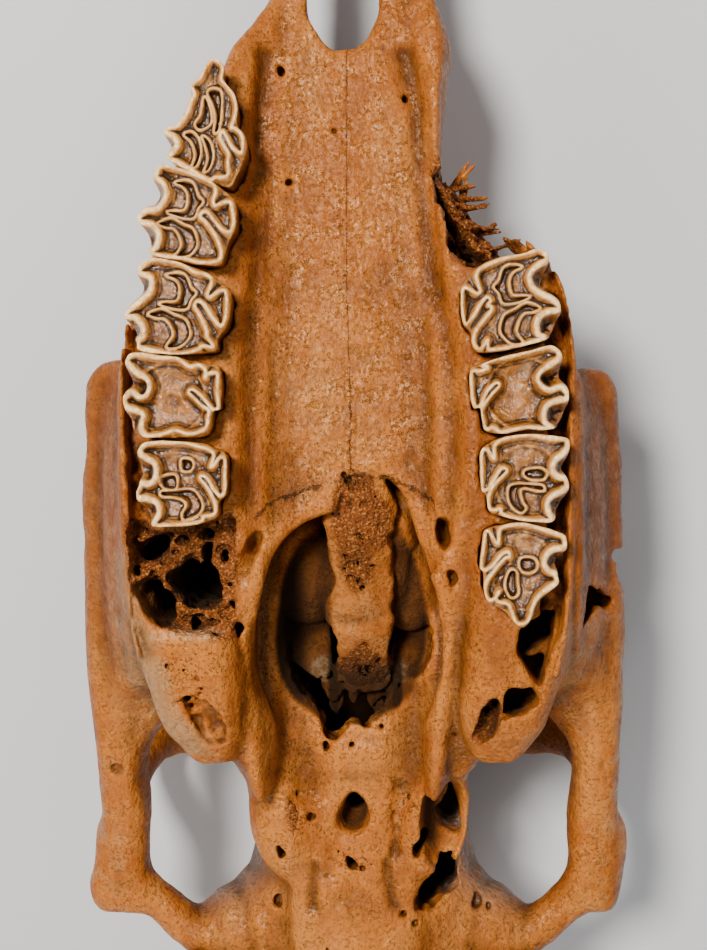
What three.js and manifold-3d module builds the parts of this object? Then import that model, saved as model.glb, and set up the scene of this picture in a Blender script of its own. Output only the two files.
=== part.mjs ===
// Horse cranium (the skull without its lower jaw), life size, lying on its forehead with the palate up.
// Millimetres. The bones are drawn in the tooth frame: x to the animal's left, y towards the muzzle, and
// depth measured dorsally from the chewing surface of the cheek teeth. toPart turns that frame so that the
// line of the nasal and frontal bones lies flat on the floor, with +Z up.
import * as THREE from "three";
import { mergeVertices } from "three/addons/utils/BufferGeometryUtils.js";
import Module from "manifold-3d";

const wasm = await Module();
wasm.setup();

// Driving dimensions
const PROFILE_SLOPE = 0.25; // the forehead line falls this much per mm towards the muzzle
const FOREHEAD_DEPTH = 139; // depth of the forehead line at y = 0
const MIDDLE_Y = 36.5; // moves the origin to the middle of the length
const INCISIVE_REAR = 131; // y of the cut between incisive bones and maxillae
const MAXILLA_REAR = -14; // y of the hard palate's rear edge
const RIGHT_ROW_FRONT = 128; // y where the right tooth row begins
const LEFT_ROW_FRONT = 60; // the same on the left, where the premolars and their bone are broken off
const ARCH_INNER = 73; // x that parts the zygomatic arches from the face
const LAYER = 14; // thickness of the nasal and frontal bones where they are parted
const NASAL_REAR = 3; // y, in the part's frame, of the cut between nasal and frontal bones
const FRONTAL_REAR = -150; // y, in the part's frame, of the frontal bone's rear cut
const GAP = 0.4; // width of the cuts between nodes
const RING = 12; // corners of a lofted cross-section
const FLOOR_TRIM = 0.6; // the forehead is trimmed flat by this much where it rests

const TILT = Math.atan(PROFILE_SLOPE);
const FLOOR_Z = FOREHEAD_DEPTH * Math.cos(TILT) - FLOOR_TRIM;
const toPart = new THREE.Matrix4()
  .makeTranslation(0, MIDDLE_Y, FLOOR_Z)
  .multiply(new THREE.Matrix4().makeRotationX(-TILT));

// The depth of the forehead line at y.
const forehead = (y) => FOREHEAD_DEPTH - PROFILE_SLOPE * y;

// ---- Shapes ---------------------------------------------------------------------------------------------

// A closed geometry as a manifold solid, in the part's frame.
function solidOf(geometry, matrix = toPart) {
  const bare = new THREE.BufferGeometry();
  bare.setAttribute("position", geometry.getAttribute("position").clone());
  if (geometry.index) bare.setIndex(geometry.index.clone());
  const merged = mergeVertices(bare.applyMatrix4(matrix), 1e-4);
  const triVerts = new Uint32Array(merged.index.array);
  const vertProperties = merged.attributes.position.array;
  const made = new wasm.Manifold(new wasm.Mesh({ numProp: 3, vertProperties, triVerts }));
  if (made.volume() >= 0) return made;
  triVerts.reverse();
  return new wasm.Manifold(new wasm.Mesh({ numProp: 3, vertProperties, triVerts }));
}

// Skins a list of rings with equal numbers of corners, and closes both ends.
function skin(rings) {
  const count = rings[0].length;
  const corners = rings.flat();
  const faces = [];
  for (let r = 0; r + 1 < rings.length; r++) {
    for (let i = 0; i < count; i++) {
      const a = r * count + i;
      const b = r * count + ((i + 1) % count);
      faces.push(a, b, b + count, a, b + count, a + count);
    }
  }
  for (let i = 1; i + 1 < count; i++) {
    const last = (rings.length - 1) * count;
    faces.push(0, i + 1, i, last, last + i, last + i + 1);
  }
  return new THREE.BufferGeometry().setFromPoints(corners).setIndex(faces);
}

const signedPower = (value, power) => Math.sign(value) * Math.abs(value) ** power;

// A body along y. Each station is [y, ventral depth, dorsal depth, ventral half width, dorsal half width],
// and the sections are superellipses of that squareness. The middle may be moved sideways by middleX(y).
function loft(stations, { squareness = 3.5, middleX = () => 0, count = RING } = {}) {
  const rings = stations.map(([y, ventral, dorsal, wideVentral, wideDorsal]) => {
    const ring = [];
    for (let i = 0; i < count; i++) {
      const angle = ((i + 0.5) / count) * 2 * Math.PI;
      const up = signedPower(Math.sin(angle), 2 / squareness);
      const side = signedPower(Math.cos(angle), 2 / squareness);
      const half = THREE.MathUtils.lerp(wideDorsal, wideVentral, (up + 1) / 2);
      const depth = (ventral + dorsal) / 2 - (up * (dorsal - ventral)) / 2;
      ring.push(new THREE.Vector3(middleX(y) + side * half, y, -depth));
    }
    return ring;
  });
  return solidOf(skin(rings));
}

// A bar of elliptical section through stations [x, y, depth, half width, half height]. The height lies as
// near to the direction named upright as the bar's own direction allows.
function bar(stations, { upright = [0, 0, 1], sides = 8, smooth = 1 } = {}) {
  const centres = stations.map(([x, y, depth]) => new THREE.Vector3(x, y, -depth));
  const sizes = stations.map(([, , , width, height]) => new THREE.Vector3(width, height, 0));
  const line = new THREE.CatmullRomCurve3(centres);
  const size = new THREE.CatmullRomCurve3(sizes);
  const steps = (stations.length - 1) * smooth;
  const rings = [];
  for (let s = 0; s <= steps; s++) {
    const t = s / steps;
    const centre = line.getPoint(t);
    const along = line.getTangent(t);
    const across = new THREE.Vector3().crossVectors(along, new THREE.Vector3(...upright)).normalize();
    const high = new THREE.Vector3().crossVectors(across, along);
    const { x: width, y: height } = size.getPoint(t);
    const ring = [];
    for (let i = 0; i < sides; i++) {
      const angle = ((i + 0.5) / sides) * 2 * Math.PI;
      ring.push(
        centre
          .clone()
          .addScaledVector(across, Math.cos(angle) * width)
          .addScaledVector(high, Math.sin(angle) * height),
      );
    }
    rings.push(ring);
  }
  return solidOf(skin(rings));
}

// An ellipsoid at [x, y, depth] with radii [across, along, high].
function ball([x, y, depth], [rx, ry, rz], segments = 8) {
  const geometry = new THREE.SphereGeometry(1, segments, Math.round(segments * 0.67));
  return solidOf(geometry.scale(rx, ry, rz).translate(x, y, -depth));
}

// A box between two corners, as [x, y, depth], grown on every side.
function block([x0, y0, deep0], [x1, y1, deep1], grow = 0) {
  const size = [Math.abs(x1 - x0), Math.abs(y1 - y0), Math.abs(deep1 - deep0)].map((s) => s + 2 * grow);
  const geometry = new THREE.BoxGeometry(...size);
  return solidOf(geometry.translate((x0 + x1) / 2, (y0 + y1) / 2, -(deep0 + deep1) / 2));
}

// The same for a box given in the part's own frame.
function level([x0, y0, z0], [x1, y1, z1], grow = 0) {
  const geometry = new THREE.BoxGeometry(x1 - x0 + 2 * grow, y1 - y0 + 2 * grow, z1 - z0 + 2 * grow);
  return solidOf(geometry.translate((x0 + x1) / 2, (y0 + y1) / 2, (z0 + z1) / 2), new THREE.Matrix4());
}

const join = (...solids) => solids.flat(Infinity).reduce((all, next) => all.add(next));
const bothSides = (make) => [make(-1), make(1)];

// ---- Teeth ----------------------------------------------------------------------------------------------

// Cheek teeth as [name, side, x, y, width, length, pointed end], where side -1 is the animal's right. The
// right row has lost its last molar, and the left row its first two premolars.
const CHEEK_TEETH = [
  ["P2", -1, 42.5, 109, 22.5, 39, 1],
  ["P3", -1, 49.0, 80.5, 28, 29.5, 0],
  ["P4", -1, 52.5, 51.5, 29.5, 28.4, 0],
  ["M1", -1, 54.0, 24.4, 28, 26.8, 0],
  ["M2", -1, 51.8, -2.8, 26.5, 26.4, 0],
  ["P4", 1, 51.5, 53.0, 29.5, 30.0, 0],
  ["M1", 1, 53.8, 25.6, 28.5, 26.8, 0],
  ["M2", 1, 54.6, -1.0, 26.5, 26.4, 0],
  ["M3", 1, 53.6, -30.4, 25, 33.5, -1],
];
const CHEEK_ROOT = 24; // depth to which a cheek tooth goes into its bone

// A cheek tooth's outline: a rounded square with ribs on the cheek side, and at most one pointed end.
function cheekTooth([, side, x, y, width, length, pointed]) {
  const corners = 12;
  const outline = [];
  for (let i = 0; i < corners; i++) {
    const angle = (i / corners) * 2 * Math.PI;
    const along = signedPower(Math.sin(angle), 0.55);
    const across = signedPower(Math.cos(angle), 0.55);
    const ribs = across > 0.6 ? 0.09 * Math.cos(along * 2 * Math.PI) - 0.05 : 0;
    const narrow = 1 - 0.62 * Math.max(0, along * pointed) ** 1.6;
    outline.push(new THREE.Vector2(side * (across + ribs) * narrow * (width / 2), along * (length / 2)));
  }
  const shape = new THREE.Shape(outline);
  const crown = new THREE.ExtrudeGeometry(shape, { depth: CHEEK_ROOT, bevelEnabled: false });
  return solidOf(crown.translate(side * x, y, -CHEEK_ROOT));
}

// The six incisors stand on an arc, and lean forwards.
function incisors() {
  const teeth = [];
  for (const place of [-2.5, -1.5, -0.5, 0.5, 1.5, 2.5]) {
    const angle = place * 0.4;
    const outward = [Math.sin(angle), Math.cos(angle)];
    const foot = [outward[0] * 24, 221 + outward[1] * 24, 30, 6.6, 5.6];
    const edge = [outward[0] * 32, 221 + outward[1] * 33, 2, 7.4, 5.2];
    teeth.push(bar([foot, edge], { upright: [outward[0], outward[1], 0], sides: 6 }));
  }
  return teeth;
}

// ---- Bones ----------------------------------------------------------------------------------------------

// The muzzle: both incisive bones and the front of the maxillae.
function muzzle() {
  return loft([
    [255, 16, 34, 22, 20],
    [246, 12, 42, 31, 26],
    [230, 13, 50, 34, 27],
    [210, 17, 57, 27.5, 22],
    [188, 19, 64, 24.5, 20],
    [165, 18, 73, 27, 21],
    [148, 16, 82, 30, 23],
    [131, 15, 92, 34, 24],
    [112, 15, 103, 33, 24],
  ]);
}

// The face from the diastema to the front of the orbits.
function face() {
  return loft([
    [120, 15, forehead(120), 32, 24],
    [98, 15, forehead(98), 32.5, 27],
    [78, 15, forehead(78), 36, 30],
    [60, 15, forehead(60), 46, 33],
    [30, 14, forehead(30), 60, 39],
    [0, 14, forehead(0), 65, 49],
    [-25, 15, forehead(-25), 66, 61],
    [-45, 20, forehead(-45) - 1, 66, 72],
    [-62, 34, forehead(-62) - 2, 58, 76],
  ]);
}

// The nasal bones, whose free tips are broken off.
function nasals() {
  return loft(
    [
      [141, forehead(141) - 7, forehead(141) + 1, 15, 15],
      [126, forehead(126) - 8, forehead(126) + 1, 23, 22],
      [90, forehead(90) - 10, forehead(90) + 1, 28, 26],
      [0, forehead(0) - 12, forehead(0) + 1, 44, 40],
    ],
    { squareness: 2.6 },
  );
}

// The bar of bone that carries a row of cheek teeth, from its front y to the rounded tuber at its rear.
function toothBar(side, front) {
  const stations = [
    [128, 15, 42, 8, 5],
    [118, 12, 50, 13, 7],
    [80, 11, 60, 14.5, 9],
    [50, 11, 62, 16, 12],
    [20, 11, 62, 16.5, 14],
    [-12, 11.5, 64, 17, 16],
    [-42, 13, 66, 18, 17],
    [-64, 18, 68, 18, 17],
    [-84, 27, 68, 15, 14],
    [-96, 38, 62, 8, 8],
  ].filter(([y]) => y <= front);
  const rowX = (y) => 54.5 - 0.00093 * Math.max(0, y - 15) ** 2 - 0.0011 * Math.min(0, y + 20) ** 2;
  return loft(stations, { middleX: (y) => side * rowX(y), squareness: 3.2 });
}

// The facial crest and zygomatic arch as far as the jaw joint, and the root that joins them to the maxilla.
function arch(side) {
  const crest = bar([
    [side * 85, 38, 49, 5, 6],
    [side * 87, 5, 54, 7, 9],
    [side * 87.5, -35, 62, 9, 13],
    [side * 87, -70, 70, 9.5, 16],
    [side * 86.5, -100, 77, 9.5, 15],
    [side * 87.5, -126, 84, 9.5, 12],
    [side * 92.5, -156, 92, 9, 9],
  ]);
  const rootX = (y) => side * (73 + 0.0045 * Math.min(0, y + 50) ** 2);
  const root = loft(
    [
      [38, 43, 64, 13, 10],
      [5, 38, 80, 16, 13],
      [-30, 40, 92, 17, 16],
      [-62, 48, 98, 16, 15],
      [-84, 60, 94, 12, 12],
      [-102, 70, 88, 5, 5],
    ],
    { middleX: rootX, squareness: 2.6, count: 8 },
  );
  return join(crest, root);
}

// The broad part of the face in front of the orbits, from the facial crests up to the forehead.
function cheeks() {
  return loft(
    [
      [36, 50, forehead(36) - 12, 76, 34],
      [5, 48, forehead(5) - 4, 84, 48],
      [-25, 52, forehead(-25) - 2, 86, 62],
      [-48, 58, forehead(-48) - 1, 87, 74],
      [-74, 66, forehead(-74) - 1, 86, 80],
    ],
    { squareness: 2.8 },
  );
}

// The sockets of the eyes.
const orbits = () => bothSides((side) => ball([side * 99, -92, 121], [50, 33, 30], 9));

// The frontal bones with their supraorbital processes, and the bars that close the orbits behind.
function foreheadPlate() {
  const plate = loft(
    [
      [14, forehead(14) - 10, forehead(14) + 1, 44, 38],
      [-20, forehead(-20) - 12, forehead(-20) + 1, 60, 54],
      [-50, forehead(-50) - 13, forehead(-50) + 1, 78, 68],
      [-74, forehead(-74) - 13, forehead(-74) + 1, 85, 72],
      [-100, forehead(-100) - 13, forehead(-100) + 1, 95, 74],
      [-113, forehead(-113) - 12, forehead(-113), 94, 72],
      [-119, forehead(-119) - 11, forehead(-119) - 1, 84, 66],
    ],
    { squareness: 3 },
  );
  const rearBars = bothSides((side) =>
    bar(
      [
        [side * 84, -106, 156, 11, 7],
        [side * 93, -118, 138, 9, 6],
        [side * 93.5, -130, 112, 9, 5.5],
        [side * 93, -138, 90, 13, 6],
      ],
      { upright: [1, 0, 0] },
    ),
  );
  return join(plate, rearBars);
}

// The walls between the orbits, and the long box of the brain behind them.
function braincase() {
  return loft(
    [
      [-50, 62, forehead(-50) - 4, 44, 50],
      [-80, 66, forehead(-80) - 4, 42, 46],
      [-112, 68, forehead(-112) - 2, 40, 44],
      [-135, 70, 169, 42, 42],
      [-160, 70, 171, 48, 46],
      [-188, 72, 169, 54, 51],
      [-218, 76, 164, 52, 46],
      [-245, 84, 160, 42, 36],
      [-266, 100, 158, 32, 28],
    ],
    { squareness: 2.4, count: 10 },
  );
}

// The jaw joint: the tubercle that runs from the arch to the braincase, and the process behind it.
function jawJoint(side) {
  const tubercle = bar([
    [side * 101.5, -153, 92, 8, 8],
    [side * 79, -156, 93, 9, 9],
    [side * 60, -162, 94, 10, 12],
    [side * 42, -166, 100, 18, 20],
  ]);
  return join(tubercle, ball([side * 60, -174, 90], [9, 7, 12]));
}

// The ear: the bony tube that opens sideways, and the bulla below it.
function ear(side) {
  const tube = bar(
    [
      [side * 40, -190, 104, 8, 8],
      [side * 66, -196, 104, 6.5, 6.5],
    ],
    { sides: 7 },
  );
  return join(tube, ball([side * 34, -190, 86], [13, 17, 13]));
}

// The back of the skull: nuchal crest, condyles, paracondylar processes and the great foramen.
function occiput() {
  const plate = bar(
    [
      [0, -286, 158, 27, 7],
      [0, -276, 140, 34, 9],
      [0, -262, 112, 44, 12],
      [0, -248, 92, 42, 12],
    ],
    { upright: [0, 1, 0] },
  );
  const crest = bar(
    [
      [-32, -276, 152, 5, 6],
      [0, -288, 158, 5, 7],
      [32, -276, 152, 5, 6],
    ],
    { sides: 6 },
  );
  const sagittal = bar(
    [
      [0, -288, 160, 6, 5],
      [0, -240, 165, 5, 5],
      [0, -190, 170, 4, 4],
    ],
    { sides: 6 },
  );
  const pair = bothSides((side) =>
    join(
      ball([side * 24, -256, 92], [14, 19, 23]),
      ball([side * 46, -222, 105], [14, 22, 28], 7),
      bar(
        [
          [side * 42, -234, 96, 8, 14],
          [side * 51, -232, 68, 6, 11],
          [side * 50, -226, 42, 4, 6],
        ],
        { upright: [0, 1, 0], sides: 6 },
      ),
    ),
  );
  const foramen = bar(
    [
      [0, -292, 108, 16, 16],
      [0, -236, 100, 16, 16],
    ],
    { sides: 10 },
  );
  return { bone: join(plate, crest, sagittal, pair), foramen };
}

// The keel under the braincase, from the great foramen to the vomer.
function skullBase() {
  const keel = bar([
    [0, -252, 80, 22, 9],
    [0, -212, 78, 17, 10],
    [0, -172, 76, 20, 11],
    [0, -140, 74, 18, 10],
    [0, -104, 70, 20, 10],
  ]);
  const wings = bothSides((side) => ball([side * 26, -118, 76], [14, 30, 18]));
  return join(keel, wings);
}

// The upright blade beside the rear opening of the nose, which ends in a hook.
function pterygoid(side) {
  const blade = bar([
    [side * 35, -8, 40, 7, 26],
    [side * 35.5, -45, 52, 8.5, 34],
    [side * 34, -80, 60, 7, 30],
    [side * 31, -110, 64, 5.5, 22],
  ]);
  const hook = bar([
    [side * 30, -80, 38, 4.5, 9],
    [side * 28.5, -113, 44, 3.5, 5],
  ]);
  return join(blade, hook);
}

// The median partition of the nose as its rear opening shows it, grown on every side.
function vomer(grow = 0) {
  const stations = [
    [2, 2, 46, 9, 16],
    [3, -30, 56, 10, 14],
    [3, -58, 64, 10.5, 12],
    [2, -82, 70, 10, 10],
  ];
  return bar(stations.map(([x, y, depth, width, height]) => [x, y, depth, width + grow, height + grow]));
}

// ---- Openings -------------------------------------------------------------------------------------------

// The vault of the palate between the tooth rows.
function palateVault() {
  return loft(
    [
      [232, -12, 18, 4, 4],
      [200, -12, 21, 9, 7],
      [150, -12, 22, 19, 16],
      [110, -12, 23, 27, 24],
      [60, -12, 25, 31, 27],
      [-24, -12, 25, 32, 27],
    ],
    { squareness: 2.6, count: 10 },
  );
}

// The rear opening of the nose, between the two blades.
function choana() {
  return loft(
    [
      [-9, -5, 60, 10, 12],
      [-22, -5, 84, 20, 18],
      [-40, -5, 96, 26, 24],
      [-64, -5, 98, 27.5, 24],
      [-84, -5, 92, 25, 20],
      [-98, -5, 68, 22, 15],
    ],
    { squareness: 2.5, count: 10 },
  );
}

// The slot in the palate behind the incisors.
function palatineFissure() {
  return bar(
    [
      [0, 170, 0, 10.5, 31],
      [0, 170, 60, 10.5, 31],
    ],
    { upright: [0, 1, 0], sides: 14 },
  );
}

// The passage of the nose: a trough open above in the incisive bones, then a tunnel under the nasal bones,
// closed at its inner end.
function nosePassage() {
  return loft(
    [
      [228, 40, 70, 5, 8],
      [205, 30, 95, 12, 14],
      [165, 29, 112, 17, 17],
      [144, 29, 112, 20, 18],
      [138, 29, forehead(138) - 9, 20, 18],
      [70, 32, forehead(70) - 12, 22, 20],
      [30, 44, forehead(30) - 22, 18, 16],
    ],
    { count: 10 },
  );
}

// ---- Whole skull, and its parting into named bones ------------------------------------------------------

function wholeSkull() {
  const back = occiput();
  const bone = join(
    join(face(), cheeks(), muzzle(), nasals()).subtract(nosePassage()),
    toothBar(-1, RIGHT_ROW_FRONT),
    toothBar(1, LEFT_ROW_FRONT),
    bothSides(arch),
    foreheadPlate(),
    braincase(),
    bothSides(jawJoint),
    bothSides(ear),
    back.bone,
    skullBase(),
  );
  const openings = join(choana(), palateVault(), palatineFissure(), orbits(), back.foramen);
  const added = [bothSides(pterygoid), vomer(), CHEEK_TEETH.map(cheekTooth), incisors()];
  const belowFloor = level([-200, -400, -60], [200, 400, 0]);
  return join(bone.subtract(openings), added).subtract(belowFloor);
}

// Each bone takes its own boxes out of what is left of the skull, so that thin cuts part the nodes.
const SIDES = { right: -1, left: 1 };
const REGIONS = [
  ["nasal_bones", (g) => [level([-60, NASAL_REAR, -5], [60, 200, LAYER], g)]],
  ["frontal_bone", (g) => [level([-130, FRONTAL_REAR, -5], [130, NASAL_REAR - GAP, LAYER], g)]],
  ...Object.entries(SIDES).map(([name, s]) => [
    "zygomatic_arch_" + name,
    (g) => [block([s * ARCH_INNER, 40, 20], [s * 130, -175, 190], g)],
  ]),
  ["incisive_bones", (g) => [block([-60, INCISIVE_REAR, -30], [60, 300, 190], g)]],
  ...Object.entries(SIDES).map(([name, s]) => [
    "maxilla_" + name,
    (g) => [
      block([s * (GAP / 2), INCISIVE_REAR - GAP, -20], [s * 90, MAXILLA_REAR, 190], g),
      block([s * 36, MAXILLA_REAR + 5, -20], [s * 90, -62, 190], g),
      block([s * 36, -61, -20], [s * 90, -112, 72], g),
    ],
  ]),
  ["vomer", (g) => [vomer(g)]],
  ...Object.entries(SIDES).map(([name, s]) => [
    "pterygoid_" + name,
    (g) => [
      block([s * 20, MAXILLA_REAR, -5], [s * 36, -125, 64], g),
      block([s * 8, MAXILLA_REAR, -5], [s * 25, -34, 64], g),
    ],
  ]),
  ["sphenoid_bone", (g) => [block([-ARCH_INNER, -10, 28], [ARCH_INNER, -128, 190], g)]],
  ...Object.entries(SIDES).map(([name, s]) => [
    "temporal_bone_" + name,
    (g) => [block([s * 24, -128, 60], [s * 90, -212, 122], g)],
  ]),
  ["occipital_bone", (g) => [block([-90, -228, 20], [90, -320, 220], g)]],
];

const BONE = { color: "#a8703c", roughness: 0.55, metalness: 0 };

function meshOf(name, solid) {
  const { vertProperties, triVerts } = solid.getMesh();
  const geometry = new THREE.BufferGeometry();
  geometry.setAttribute("position", new THREE.BufferAttribute(new Float32Array(vertProperties), 3));
  geometry.setIndex(new THREE.BufferAttribute(new Uint32Array(triVerts), 1));
  geometry.computeVertexNormals();
  const mesh = new THREE.Mesh(geometry, new THREE.MeshStandardMaterial(BONE));
  mesh.name = name;
  return mesh;
}

// The main body of a piece, without the slivers that a cut can leave.
const largest = (solid) => solid.decompose().sort((a, b) => b.volume() - a.volume())[0];

const skull = new THREE.Group();
let rest = wholeSkull();
for (const [name, region] of REGIONS) {
  skull.add(meshOf(name, largest(rest.intersect(join(region(0))))));
  rest = rest.subtract(join(region(GAP)));
}
skull.add(meshOf("braincase", largest(rest)));

export default skull;
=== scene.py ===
"""A horse skull without its lower jaw, lying on its forehead with the palate up.

The bone and the teeth are signed distance fields on grids, in millimetres, turned into meshes at the end.
They are drawn in the tooth frame: x to the animal's left, y towards the muzzle, and depth measured from the
chewing surface of the cheek teeth towards the forehead. to_part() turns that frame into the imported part's.
"""
import itertools
import math

import bpy
import numpy as np
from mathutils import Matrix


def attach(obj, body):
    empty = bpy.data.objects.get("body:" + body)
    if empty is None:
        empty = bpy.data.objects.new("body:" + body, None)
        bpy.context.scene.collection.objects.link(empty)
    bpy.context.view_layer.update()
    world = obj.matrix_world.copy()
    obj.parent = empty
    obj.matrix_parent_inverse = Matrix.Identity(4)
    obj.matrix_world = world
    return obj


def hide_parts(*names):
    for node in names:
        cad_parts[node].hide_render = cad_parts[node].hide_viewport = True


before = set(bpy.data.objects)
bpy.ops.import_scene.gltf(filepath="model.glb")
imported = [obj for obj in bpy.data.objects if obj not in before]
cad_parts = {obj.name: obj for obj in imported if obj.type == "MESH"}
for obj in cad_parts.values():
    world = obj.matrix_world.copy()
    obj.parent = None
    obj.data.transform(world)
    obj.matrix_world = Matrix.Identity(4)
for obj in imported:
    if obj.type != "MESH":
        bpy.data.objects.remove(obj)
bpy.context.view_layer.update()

import openvdb
from mathutils import Matrix, Vector

# ---- Driving dimensions, as in the part's own source ---------------------------------------------

PROFILE_SLOPE = 0.25  # the forehead line falls this much per mm towards the muzzle
FOREHEAD_DEPTH = 139.0  # depth of the forehead line at y = 0
MIDDLE_Y = 36.5  # moves the origin to the middle of the length
FLOOR_TRIM = 0.6  # the forehead is trimmed flat by this much where it rests
TILT = math.atan(PROFILE_SLOPE)
FLOOR_Z = FOREHEAD_DEPTH * math.cos(TILT) - FLOOR_TRIM
MM = 0.001

CAMERA_HEIGHT = 430.0  # mm from the chewing surface to the lens
CAMERA_X = 2.0  # mm, the point of the chewing surface that the camera looks at
CAMERA_LEAN = math.radians(2.1)  # the camera stands this far over to the animal's left
CAMERA_ROLL = math.radians(-0.6)
PICTURE_WIDTH = 707  # pixels
PICTURE_HEIGHT = 950
FOCAL_PIXELS = 1393.0  # the lens's focal length in pixels of the picture

SIDES = (-1, 1)  # the animal's right and left
BONE_CELL = 0.9  # grid spacing of the bone, mm
TOOTH_CELL = 0.4  # grid spacing of a tooth, mm
FAR = 12.0  # distances are kept within this


def forehead(y):
    return FOREHEAD_DEPTH - PROFILE_SLOPE * y


def to_part(points):
    """Points as rows of [x, y, depth] in mm, as rows of the part's own x, y, z in metres."""
    x, y, z = points[:, 0], points[:, 1], -points[:, 2]
    turned = (
        x,
        y * math.cos(TILT) + z * math.sin(TILT) + MIDDLE_Y,
        -y * math.sin(TILT) + z * math.cos(TILT) + FLOOR_Z,
    )
    return np.stack(turned, axis=1) * MM


# ---- Noise ---------------------------------------------------------------------------------------


def scramble(i, j, k, seed):
    """A repeatable number from 0 to 1 for each whole-numbered corner."""
    n = i.astype(np.uint32) * np.uint32(73856093)
    n ^= j.astype(np.uint32) * np.uint32(19349663)
    n ^= k.astype(np.uint32) * np.uint32(83492791)
    n ^= np.uint32((seed * 2654435761) % 2**32)
    n ^= n >> np.uint32(15)
    n *= np.uint32(0x2C1B3C6D)
    n ^= n >> np.uint32(12)
    n *= np.uint32(0x297A2D39)
    n ^= n >> np.uint32(15)
    return n.astype(np.float32) / np.float32(2**32)


def corner_weights(part):
    """The eight corners of a grid cell, and how much each weighs at a place that far along its sides."""
    for corner in itertools.product((0, 1), repeat=3):
        u, v, w = (p if c else 1 - p for c, p in zip(corner, part))
        yield corner, u * v * w


def noise(x, y, z, size, seed=0):
    """Smooth noise from -1 to 1 whose bumps are about that size, in mm."""
    shape = np.broadcast(x, y, z).shape
    corner, part = [], []
    for value in (x, y, z):
        scaled = np.broadcast_to(value / size, shape)
        low = np.floor(scaled)
        corner.append(low.astype(np.int32))
        step = (scaled - low).astype(np.float32)
        part.append(step * step * (3 - 2 * step))
    total = np.zeros(shape, np.float32)
    for (a, b, c), weight in corner_weights(part):
        total += weight * scramble(corner[0] + a, corner[1] + b, corner[2] + c, seed)
    return total * 2 - 1


def pores(x, y, z, size, radius, seed=0, stretch=(1, 1, 1)):
    """Distance to the nearest of the scattered round pores, about one to a cube of that size."""
    x, y, z = x / stretch[0], y / stretch[1], z / stretch[2]
    shape = np.broadcast(x, y, z).shape
    cell = [np.floor(np.broadcast_to(v / size, shape)).astype(np.int32) for v in (x, y, z)]
    nearest = np.full(shape, FAR, np.float32)
    for a, b, c in itertools.product((-1, 0, 1), repeat=3):
        i, j, k = cell[0] + a, cell[1] + b, cell[2] + c
        px = (i + scramble(i, j, k, seed + 1)) * size - x
        py = (j + scramble(i, j, k, seed + 2)) * size - y
        pz = (k + scramble(i, j, k, seed + 3)) * size - z
        wide = radius * (0.45 + 0.9 * scramble(i, j, k, seed + 4))
        nearest = np.minimum(nearest, np.sqrt(px * px + py * py + pz * pz) - wide)
    return nearest


# ---- Shapes: each has pieces, and each piece a box and a distance function -----------------------


class Piece:
    """Part of a body: the box it lies in, and its signed distance at open arrays of x, y and depth."""

    def __init__(self, low, high, distance):
        self.low = np.array(low, float)
        self.high = np.array(high, float)
        self.distance = distance


def curve_through(values, at):
    """Catmull-Rom interpolation of rows of values at fractional row numbers."""
    rows = np.asarray(values, float)
    last = len(rows) - 1
    at = np.clip(np.asarray(at, float), 0, last)
    i = np.minimum(np.floor(at).astype(int), last - 1)
    t = (at - i)[..., None]
    p0, p1, p2, p3 = (rows[np.clip(i + k, 0, last)] for k in (-1, 0, 1, 2))
    return p1 + 0.5 * t * (p2 - p0 + t * (2 * p0 - 5 * p1 + 4 * p2 - p3 + t * (3 * (p1 - p2) + p3 - p0)))


def loft(stations, squareness=3.0, middle=None, round_end=5.0):
    """A body along y through stations [y, ventral depth, dorsal depth, ventral and dorsal half width]."""
    rows = np.array(sorted(stations), float)
    ys = rows[:, 0]
    widest = rows[:, 3:5].max()
    shift = np.zeros_like(ys) if middle is None else np.array([middle(y) for y in ys])

    def distance(x, y, d):
        place = np.interp(y.ravel(), ys, np.arange(len(ys)))
        smooth = curve_through(rows, place).astype(np.float32)
        top, deep, wide_top, wide_deep = (smooth[:, k].reshape(y.shape) for k in (1, 2, 3, 4))
        centre = np.float32(0) if middle is None else np.interp(y, ys, shift).astype(np.float32)
        half = np.maximum((deep - top) / 2, 0.5)
        v = (d - (top + deep) / 2) / half
        wide = np.maximum(wide_top + (wide_deep - wide_top) * np.clip((v + 1) / 2, 0, 1), 0.5)
        u = np.abs(x - centre) / wide
        v = np.abs(v)
        r = (u**squareness + v**squareness) ** (1 / squareness) + 1e-6
        slope_u = (u / r) ** (squareness - 1) / wide
        slope_v = (v / r) ** (squareness - 1) / half
        out = (r - 1) / np.sqrt(slope_u**2 + slope_v**2 + 1e-9)
        out = np.maximum(out, -np.minimum(wide, half))
        ends = np.maximum(ys[0] - y, y - ys[-1])
        return blend_max(out, ends, round_end)

    low = [(shift.min() - widest), ys[0], rows[:, 1].min()]
    high = [(shift.max() + widest), ys[-1], rows[:, 2].max()]
    return [Piece(low, high, distance)]


def blend_max(a, b, k):
    """The greater of two distances, with the corner between them rounded."""
    h = np.maximum(k - np.abs(a - b), 0) / k
    return np.maximum(a, b) + h * h * (k / 4)


def blend_min(a, b, k):
    """The lesser of two distances, with the corner between them filled."""
    h = np.maximum(k - np.abs(a - b), 0) / k
    return np.minimum(a, b) - h * h * (k / 4)


def ellipsoid(offsets, radii, deepest):
    """Distance to an ellipsoid from the offsets along its axes, no lower than deepest inside it."""
    scaled = [offset / radius for offset, radius in zip(offsets, radii)]
    r = np.sqrt(sum(s * s for s in scaled)) + 1e-6
    slope = np.sqrt(sum((s / radius) ** 2 for s, radius in zip(scaled, radii))) / r + 1e-6
    return np.maximum((r - 1) / slope, -deepest)


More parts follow.
